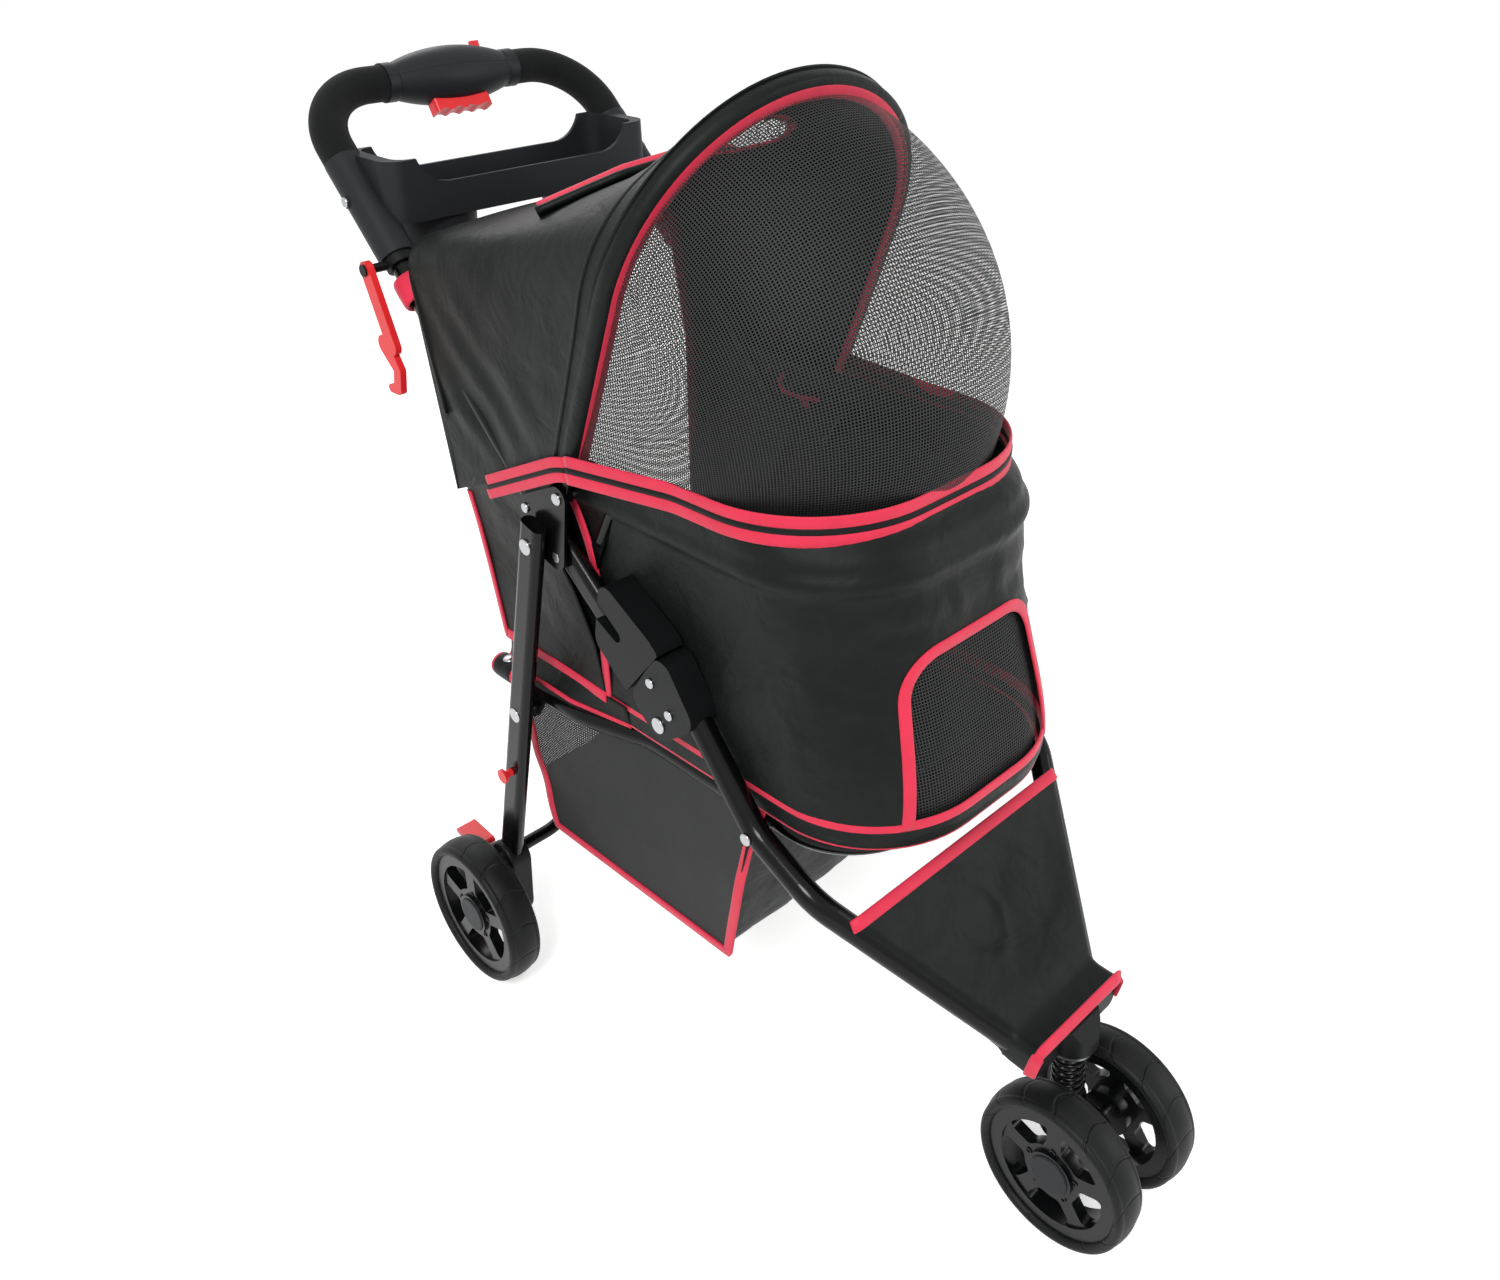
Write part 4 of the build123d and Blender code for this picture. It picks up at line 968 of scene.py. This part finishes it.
# %% Openings
window_low = 396.0
window_high = 533.0
window_low_half = 90.0
window_high_half = 75.0
window_round = 40.0
window_front = -150 * mm
binding_hold = 6.0
slack_over = 14.0
rear_hole_low = 430 * mm
rear_hole_half = 125 * mm


def window_half(up):
    """Half width of the front window at one height, in mm."""
    return mix(window_low_half, window_high_half, (up - window_low) / (window_high - window_low))


def clear_of_window(point):
    """How slack the cloth is beside the window: 0 on its binding, 1 from 20 mm away."""
    beyond = max(abs(point.x) / mm - window_half(point.z / mm), point.z / mm - window_high)
    return clamp((beyond - binding_hold) / slack_over) if point.y < -0.1 else 1.0


def in_window(point):
    """Whether a place on the tub lies in the front window."""
    up = point.z / mm
    beside = abs(point.x) / mm - (window_half(up) - window_round)
    above = up - (window_high - window_round)
    corner = beside > 0 and above > 0 and math.hypot(beside, above) > window_round
    return point.y < window_front and beside < window_round and window_low < up < window_high and not corner


def in_tub_rear(point):
    """Whether a place on the tub lies in its rear wall, which the rear panel closes instead."""
    return point.y > 0.2 and point.z > rear_hole_low and abs(point.x) < rear_hole_half


# %% [markdown]
# ## Cabin cloth
# The tub is drawn level by level. Its cloth is held at the hem and at the channel, and it hangs slack
# between them, so that is where the waves and creases grow.

# %% Cabin cloth
tub_low = 371.0
tub_high = 636.0
tub_levels = 72
tub_waves = [(70, 3.2, 1.3), (31, 1.9, 5.7)]
tub_grain = (14, 0.6, 2.2)
tub_folds = [(78, 3.4, 3.3), (37, 1.6, 6.1)]
tub_inset = 3 * mm
hem_high = 402.0
hang_share = 0.82
tub_rows = []
for r in range(tub_levels):
    z = mix(tub_low, tub_high, r / (tub_levels - 1))
    hang = math.sin(math.pi * clamp((z - hem_high) / (hang_share * (tub_high - hem_high)))) ** 0.7
    row = []
    for point, out in zip(*tub_ring(z)):
        lean = Vector((point.x, point.y + 0.5 * point.z, point.z * 0.4))
        swell = wrinkles(lean, tub_waves) + ripple(point, *tub_grain)
        folds = wrinkles(lean, [], tub_folds) * mix(-0.6, 1, clamp((-0.03 - point.y) / 0.06))
        row.append(point + out * (swell + folds - tub_inset) * hang * clear_of_window(point))
    tub_rows.append(row)
tub = cloth_sheet("cabin_cloth", tub_rows, [in_window, in_tub_rear], -1.0, ring=True)
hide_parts("cabin_tub")
print("cabin", len(tub.data.vertices), "points")

# %% [markdown]
# ## Window, hem and seams of the cabin
# The front window is net behind a crimson binding, and the same binding closes the hem and the side seams.

# %% Window and bindings
window_lap = 4.0
window_net_in = 5 * mm
window_reach = window_low_half + window_lap
binding_lift = 1.2 * mm
cabin_hems = [("cabin_hem", 392, 13), ("floor_piping", 373, 5)]
side_seam = [(142.5, 96, 600), (141, 66, 540), (138.5, 72, 392)]
side_seam_round = 160 * mm


def tub_front(x, z):
    """Point on the front of the tub, and the level way it faces there."""
    half, front, bend = tub_size(z)
    beyond = max(0.0, abs(x) - (half - bend))
    square = bend * bend - beyond * beyond
    facing = Vector((math.copysign(beyond, x), -math.sqrt(max(square, 1.0)), 0)).normalized()
    return spot(x, front + bend - math.sqrt(max(square, 0.0)), z), facing


def window_point(up, across):
    """Point of the window's net, a little inside the cloth."""
    z = mix(window_low - window_lap, window_high + window_lap, up)
    place, facing = tub_front(mix(-window_reach, window_reach, across), z)
    return place - facing * window_net_in


pane = net_sheet("window_net", sheet_rows(24, 41, window_point))

window_frame = [(-window_low_half, window_low - window_lap), (-window_high_half, window_high),
                (window_high_half, window_high), (window_low_half, window_low - window_lap)]
flat_line = rounded([Vector((x, z, 0)) for x, z in window_frame], [0, window_round, window_round, 0])
frame_spots = [tub_front(p.x, p.y) for p in evenly(flat_line, 110)]
frame_path = [place + facing * binding_lift for place, facing in frame_spots]
window_binding = tape("window_binding", frame_path, [facing for place, facing in frame_spots])

cabin_pieces = [tub, pane, window_binding]
for name, z, width in cabin_hems:
    hem_ring, hem_out = tub_ring(z)
    cabin_pieces.append(tape(name, hem_ring, hem_out, width, loop=True))
for side, way in both_sides:
    seam = [spot(way * x, y, z) for x, y, z in side_seam]
    path = evenly(rounded(seam, [0, side_seam_round, 0]), 50)
    cabin_pieces.append(tape("side_seam_" + side, path, Vector((way, 0, 0)), 10))
for piece in cabin_pieces:
    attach(piece, "seat_frame")
    crush(piece)
print("cabin pieces", len(cabin_pieces))

# %% [markdown]
# ## Rear quarter panels
# Behind the hinge plates the hood's cloth runs on down to the hem, so the cabin's rear is closed by two
# quarter panels and a rear panel. They flare from the hem out to the handle tubes. A narrow gusset joins
# the cabin's rim to each panel's top.

# %% Quarter panels and gussets
# Knots of a panel's half width and of its front and rear edge, by height.
panel_half = [(392, 139.5), (470, 146), (520, 151), (555, 155.5), (580, 160.5), (600, 161.8), (636, 161.8)]
panel_front = [(392, 72), (450, 76), (500, 92), (545, 114), (575, 112), (600, 96), (636, 66)]
panel_rear = [(392, 240), (500, 243), (636, 248)]
panel_low = 392.0
panel_front_top = 636.0
panel_rear_top = 560.0
panel_waves = [(55, 4.5, 4.4), (25, 1.5, 9.1)]
panel_sag = 4 * mm
quarter_rear_in = 6.0
rear_seam_out = 0.5
rear_seam_in = 8.0
rear_seam_levels = range(394, 562, 8)
quarter_hem_x = 140.5
quarter_hem_high = [(72, 392), (238, 396)]
gusset_front = 62.0
gusset_rear = 218.0
gusset_in = (141.5, 633.0)
gusset_out = 163.0
gusset_out_high = [(62, 632), (242, 558)]


def quarter_point(way, up, back):
    """Point of a quarter panel, up from its hem and back from its front edge."""
    z = mix(panel_low, mix(panel_front_top, panel_rear_top, back), up)
    y = mix(between(panel_front, z), between(panel_rear, z) - quarter_rear_in, back)
    slack = math.sin(math.pi * back) * math.sin(math.pi * up)
    place = spot(way * between(panel_half, z), y, z)
    place.x += way * (wrinkles(place, panel_waves) - panel_sag) * slack
    return place


def gusset_point(way, out, back):
    """Point of a gusset, out from the cabin's rim to the panel and back along it."""
    y = mix(gusset_front, gusset_rear, back)
    high = mix(gusset_in[1], between(gusset_out_high, y), out)
    return spot(way * mix(gusset_in[0], gusset_out, out), y, high)


rear_pieces = []
for side, way in both_sides:
    rows = sheet_rows(44, 36, lambda up, back: quarter_point(way, up, back))
    panel = cloth_sheet("quarter_panel_" + side, rows)
    edge = [spot(way * (between(panel_half, z) + rear_seam_out), between(panel_rear, z) - rear_seam_in, z)
            for z in rear_seam_levels]
    rear_seam = tape("rear_seam_" + side, edge, Vector((way, 0.25, 0)).normalized(), 10)
    low_edge = [spot(way * quarter_hem_x, y, between(quarter_hem_high, y)) for y in range(72, 240, 8)]
    quarter_hem = tape("quarter_hem_" + side, low_edge, Vector((way, 0, 0)), 12)
    rows = sheet_rows(9, 27, lambda out, back: gusset_point(way, out, back))
    gusset = cloth_sheet("rim_gusset_" + side, rows)
    rear_pieces += [panel, rear_seam, quarter_hem, gusset]

# %% [markdown]
# ## Cabin skirt
# A low skirt carries the cabin's hem down round the rear of the seat loop. It is drawn between two lines:
# its top along the hem, and its foot, which a thin piping closes.

# %% Cabin skirt
skirt_top = [spot(-140, 44, 394), spot(-140, 238, 394)]
skirt_low = [spot(-136, 44, 371.5), spot(-149, 116, 371.5), spot(-149, 250, 371.5)]
skirt_top_round = [0, 20 * mm]
skirt_low_round = [0, 60 * mm, 50 * mm]
skirt_middle = spot(0, 100, 371)
top_line = both_halves(skirt_top, skirt_top_round, 120)
low_line = both_halves(skirt_low, skirt_low_round, 120)
skirt_rows = [[low.lerp(high, r / 6) for low, high in zip(low_line, top_line)] for r in range(7)]
skirt = cloth_sheet("cabin_skirt", skirt_rows)
skirt_piping = tape("skirt_piping", low_line, level_out(low_line, skirt_middle), 5)
rear_pieces += [skirt, skirt_piping]

# %% [markdown]
# ## Rear wall
# The rear wall is one piece on the cabin, up to the rim, and another on the hood above it. The net door's
# opening is cut through both.

# %% Rear panel and hood end
door_low = 430.0
door_high = 770.0
door_half = [(430, 108), (560, 117), (634, 121), (770, 122)]
rear_panel_low = 394.0
rear_panel_high = 634.0
rear_in = 5.0
rear_waves = [(70, 2, 6.3), (28, 0.8, 7.7)]
hood_end_low = 632 * mm
hood_end_y = (hood_foot[1] - 4) * mm
hood_end_levels = 16


def in_door(point):
    """Whether a place on the rear lies in the net door."""
    up = point.z / mm
    return door_low < up < door_high and abs(point.x) / mm < between(door_half, up)


def rear_point(up, across):
    """Point of the rear panel."""
    z = mix(rear_panel_low, rear_panel_high, up)
    half = between(panel_half, z) - 1
    place = spot(mix(-half, half, across), between(panel_rear, z) - rear_in, z)
    slack = math.sin(math.pi * across) * math.sin(math.pi * (0.1 + 0.8 * up))
    place.y += wrinkles(place, rear_waves) * slack
    return place


rear_panel = cloth_sheet("rear_panel", sheet_rows(40, 41, rear_point), [in_door])
rear_pieces.append(rear_panel)
for piece in rear_pieces:
    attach(piece, "seat_frame")
    crush(piece)
print("rear pieces", len(rear_pieces))

end_rows = []
for r in range(hood_end_levels):
    share = r / (hood_end_levels - 1)
    end_rows.append([Vector((p.x, hood_end_y, hood_end_low)).lerp(p, share) for p in hood_rows[-1]])
hood_end = cloth_sheet("hood_end", end_rows, [in_door])
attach(hood_end, "upper_frame")

# %% [markdown]
# ## Rear door
# The rear is a net door with a crimson binding: daylight comes through it into the cabin. Its lower half
# goes with the seat and its upper half with the hood.

# %% Rear door
door_y = panel_rear[:2] + [(634, 247), (800, 274)]
door_split = 633.0
door_lap = 3.0
door_round = 26 * mm
door_binding_lift = Vector((0, 2 * mm, 0))
for name, low, high, body in (("low", door_low, door_split, "seat_frame"),
                              ("high", door_split, door_high, "upper_frame")):
    rows = []
    for r in range(24):
        z = mix(low, high, r / 23)
        half = between(door_half, z) + door_lap
        rows.append([spot(mix(-half, half, c / 30), between(door_y, z) - rear_in, z) for c in range(31)])
    door_net = net_sheet("door_net_" + name, rows)
    open_row, closed_row = (rows[-1], rows[0]) if name == "low" else (rows[0], rows[-1])
    corners = [open_row[0], closed_row[0], closed_row[-1], open_row[-1]]
    path = evenly(rounded([p + door_binding_lift for p in corners], [0, door_round, door_round, 0]), 90)
    door_binding = tape("door_binding_" + name, path, Vector((0, 1, 0)), thick=5)
    for piece in (door_net, door_binding):
        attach(piece, body)
        if body == "seat_frame":
            crush(piece)

# %% [markdown]
# ## Tube collars
# Where the handle tubes leave the hood, a crimson cuff closes the hole. The tubes slope at 45 degrees, so
# each cuff is a ring square to that slope.

# %% Collars
collar_x = 150.0
collar_y = 289.0
collar_r = 15 * mm
tube_rise = 446.0
slope = math.sqrt(0.5)
for side, way in both_sides:
    centre = spot(way * collar_x, collar_y, collar_y + tube_rise)
    out = [Vector((math.cos(t), math.sin(t) * slope, -math.sin(t) * slope)) for t in circle(40)]
    collar = tape("tube_collar_" + side, [centre + o * collar_r for o in out], out, 26, 5, loop=True)
    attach(collar, "upper_frame")

# %% [markdown]
# ## Apron
# The apron is a trapezium of the same cloth, stretched over both front tubes and the caster's head. It sags
# between the tubes, and past each tube its edge folds down over the side.

# %% Apron
apron_profile = [spot(0, -237.5, 314), spot(0, -344, 208), spot(0, -369, 207.5)]
apron_bend = 16 * mm
# Half the space between the tubes' middles, by distance in front of the origin.
tube_spread = [(205, 150), (350, 42)]
apron_past = 12.0
apron_least = 61.5
apron_from = 237.0
apron_long = 132.0
apron_flap = (12, 24)
fold_round = 9.0
apron_sag = 9 * mm
apron_sag_rows = 34
apron_wide = 81
apron_waves = [(42, 3.2, 2.9)]
apron_folds = [(50, 2.2, 4.7)]
flap_wave = (30, 2.4, 5.2)
apron_out = Vector((0, -0.7, 0.7))
apron_rows = []
for r, p in enumerate(evenly(rounded(apron_profile, [0, apron_bend, 0]), 46)):
    down = -p.y / mm
    tube_x = between(tube_spread, down)
    half = max(tube_x + apron_past, apron_least)
    low_share = (down - apron_from) / apron_long
    reach = half + mix(*apron_flap, low_share)
    hang = Vector((0, mix(0.7, 0.25, low_share), -mix(0.7, 0.97, low_share)))
    row = []
    for c in range(apron_wide):
        run = mix(-reach, reach, c / (apron_wide - 1))
        past = max(0.0, abs(run) - half + fold_round)
        turn = min(past / fold_round, math.pi / 2)
        x = min(abs(run), half - fold_round) + fold_round * math.sin(turn)
        drop = fold_round * (1 - math.cos(turn)) + max(0.0, past - fold_round * math.pi / 2)
        place = Vector((math.copysign(x, run) * mm, p.y, p.z)) + hang * (drop * mm)
        inner = max(0.0, 1 - (x / tube_x) ** 2) * math.sin(math.pi * min(r / apron_sag_rows, 1))
        place -= apron_out * inner * apron_sag
        place += apron_out * wrinkles(place, apron_waves, apron_folds) * inner
        place.x += math.copysign(abs(ripple(place, *flap_wave)), run) * min(drop / 14, 1)
        row.append(place)
    apron_rows.append(row)
apron = cloth_sheet("apron_cloth", apron_rows, offset=1.0)
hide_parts("apron")
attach(apron, "front_frame")
for name, row, facing in (("apron_top_binding", apron_rows[0], apron_out),
                          ("apron_low_binding", apron_rows[-1], Vector((0, -0.9, 0.4)))):
    path = evenly([p + facing * binding_lift for p in row], 80)
    out = []
    for p in path:
        sideways = math.copysign(2, p.x) if abs(p.x) > 0.97 * abs(row[0].x) else 0
        out.append((facing + Vector((sideways, 0, 0))).normalized())
    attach(tape(name, path, out), "front_frame")
print("apron", len(apron.data.vertices), "points")

# %% [markdown]
# ## Basket
# The basket is a sling under the seat: one strip of cloth makes its front, floor and low rear wall. Its two
# sides are net, hung from the seat loop, with crimson binding down both ends and along the floor.

# %% Basket
basket_half = 134.0
basket_low = 173.0
basket_rear = 193.0
basket_rear_lip = (200.0, 246.0)
basket_front_low = -70.0
basket_front_lip = (-112.0, 344.0)
basket_round = 22 * mm
sling_waves = [(50, 4, 3.7)]
sling_folds = [(60, 2, 8.8)]
sling_bow = 5 * mm
net_top = 352.0
net_rear = 206.0
# Half width of the seat loop, where the nets hang, by distance behind the origin.
net_top_half = [(-112, 126), (20, 126), (120, 146), (206, 146)]
net_drift = (60, 5, 2.6)
net_waves = [(55, 4, 5.4)]
net_bow = 2 * mm
strip = [spot(0, *basket_rear_lip), spot(0, basket_rear, basket_low), spot(0, basket_front_low, basket_low),
         spot(0, *basket_front_lip)]
sling_rows = []
for p in evenly(rounded(strip, [0, basket_round, basket_round, 0]), 80):
    row = []
    for c in range(41):
        across = mix(-1, 1, c / 40)
        sag = 1 - across * across
        low = max(0.0, 1 - (p.z / mm - basket_low) / 60)
        place = Vector((basket_half * across * mm, p.y, p.z))
        place.y += sag * (sling_bow if p.y > 0.03 else -sling_bow) * (1 - low)
        place += Vector((0, 0.3, 1)) * wrinkles(place, sling_waves, sling_folds) * sag
        row.append(place)
    sling_rows.append(row)
sling = cloth_sheet("basket_sling", sling_rows)
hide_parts("basket")


def net_point(way, up, along):
    """Point of a side net, up from the floor and along it from the front."""
    low = spot(way * basket_half, mix(basket_front_low - 2, basket_rear + 1, along), basket_low)
    top_y = mix(basket_front_lip[0], net_rear, along)
    place = low.lerp(spot(way * between(net_top_half, top_y), top_y, net_top), up)
    place.y += ripple(place, *net_drift) * math.sin(math.pi * up)
    place.x += way * (wrinkles(place, net_waves) + net_bow) * math.sin(math.pi * up)
    return place


basket_pieces = [sling]
for side, way in both_sides:
    rows = sheet_rows(26, 49, lambda up, along: net_point(way, up, along))
    side_net = net_sheet("basket_net_" + side, rows, dense_net)
    border = evenly([row[0] for row in reversed(rows)] + rows[0][1:-1] + [row[-1] for row in rows], 120)
    basket_pieces += [side_net, tape("basket_binding_" + side, border, Vector((way, 0, -0.15)).normalized())]
for piece in basket_pieces:
    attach(piece, "seat_frame")
    crush(piece)
print("basket pieces", len(basket_pieces))

# %% [markdown]
# ## Straps and snaps
# Short straps tie the cabin to the seat loop: a crimson one on each side near the front, and at each rear
# corner a black tab with a crimson edge and a plated snap. A crimson tether is sewn inside, behind the hoop.

# %% Straps and snaps
loop_high = 360.0
loop_r = 9.5
strap_at = (126, -126)
tab_at = (147, 222)
strap_r = (loop_r + 1.6) * mm
tab_turns = [math.radians(d) for d in range(-40, 141, 6)]
snap_r = 6.5
snap_foot = loop_r + 2.4
snap_rise = 2.2
tether_line = [spot(139, 118, 619), spot(140, 130, 608), spot(140, 123, 599), spot(139, 100, 599),
               spot(138, 69, 604)]
tether_round = [0, 8 * mm, 7 * mm, 20 * mm, 0]
for side, way in both_sides:
    centre = spot(way * strap_at[0], strap_at[1], loop_high)
    out = [Vector((math.cos(t), 0, math.sin(t))) for t in circle(32)]
    pieces = [tape("loop_strap_" + side, [centre + o * strap_r for o in out], out, 13, 2.4, loop=True)]
    centre = spot(way * tab_at[0], tab_at[1], loop_high)
    out = [Vector((way * math.cos(t), 0, math.sin(t))) for t in tab_turns]
    wrap = [centre + o * strap_r for o in out]
    pieces.append(tape("loop_tab_" + side, wrap, out, 30, 2.2, cloth))
    pieces.append(tape("loop_tab_edge_" + side, wrap, out, 35, 1.2))
    snap_rows = []
    for r in range(6):
        lean = math.pi / 2 * r / 6
        wide = snap_r * math.cos(lean)
        high = snap_foot + snap_rise * math.sin(lean)
        snap_rows.append([centre + spot(wide * math.cos(t), wide * math.sin(t), high) for t in circle(24)])
    snap_rows.append([centre + spot(0, 0, snap_foot + snap_rise)] * 24)
    snap = grid("snap_" + side, snap_rows, rivet_steel, ring=True)
    for piece in pieces + [snap]:
        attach(piece, "seat_frame")
tether = tape("tether", evenly(rounded(tether_line, tether_round), 40), Vector((-1, 0, 0)), 5, 1.6)
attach(tether, "seat_frame")
crush(tether)

# %% [markdown]
# ## Caster spring
# The spring sits round the caster's stem. A rigid solid can't shorten, so the same helix is made here as a
# mesh.

# %% Caster spring
stem_y = -363.0
spring_wire_r = 1.8
spring_coil_r = 13.5
spring_turns = 7
spring_low = 110.0
spring_high = 166.0
turn_steps = 24
wire_rows = []
for n in range(spring_turns * turn_steps + 1):
    turn = 2 * math.pi * n / turn_steps
    out = Vector((math.cos(turn), math.sin(turn), 0))
    centre = spot(0, stem_y, mix(spring_low, spring_high, n / (spring_turns * turn_steps)))
    centre += out * spring_coil_r * mm
    wire_rows.append([centre + (out * math.cos(t) + Vector((0, 0, math.sin(t)))) * spring_wire_r * mm
                      for t in circle(12)])
spring = grid("spring_coil", wire_rows, paint, ring=True)
close_ends(spring)
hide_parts("caster_spring")
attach(spring, "caster_swivel")
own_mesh(spring)

# %% [markdown]
# ## Floor pad
# The pad lies on the board. It starts as a thin block, and the cloth solver blows it up a little, so that
# its top is crowned and its edges are soft.

# %% Floor pad
pad_shrink = 5 * mm
pad_voxel = 6 * mm
pad_pressure = 4
pad_swell_most = 6 * mm
pad_steps = 20
pad_low, pad_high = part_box("floor_pad")
pad = bpy.data.objects.new("pad_cushion", frame["nodes"]["floor_pad"].data.copy())
bpy.context.collection.objects.link(pad)
for corner in pad.data.vertices:
    for axis in range(3):
        centre = (pad_low[axis] + pad_high[axis]) / 2
        share = 1 - 2 * pad_shrink / (pad_high[axis] - pad_low[axis])
        corner.co[axis] = centre + (corner.co[axis] - centre) * share
even = pad.modifiers.new("even_faces", "REMESH")
even.mode = "VOXEL"
even.voxel_size = pad_voxel
bake(pad)
start = [corner.co.copy() for corner in pad.data.vertices]
swell = pad.modifiers.new("swell", "CLOTH")
swell.settings.use_pressure = True
swell.settings.uniform_pressure_force = pad_pressure
swell.settings.effector_weights.gravity = 0
swell.point_cache.frame_end = pad_steps
for step in range(1, pad_steps + 1):
    bpy.context.scene.frame_set(step)
bake(pad)
bpy.context.scene.frame_set(1)
for corner, was in zip(pad.data.vertices, start):
    move = corner.co - was
    corner.co = was + move * min(1.0, pad_swell_most / max(move.length, 1e-9))
for corner in pad.data.vertices:
    for axis in range(3):
        corner.co[axis] = min(max(corner.co[axis], pad_low[axis]), pad_high[axis])
finer = pad.modifiers.new("finer", "SUBSURF")
finer.levels = 1
bake(pad)
pad.data.polygons.foreach_set("use_smooth", [True] * len(pad.data.polygons))
pad.data.materials.clear()
pad.data.materials.append(pad_cloth)
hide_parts("floor_pad")
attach(pad, "seat_frame")
print("pad", len(pad.data.vertices), "points")
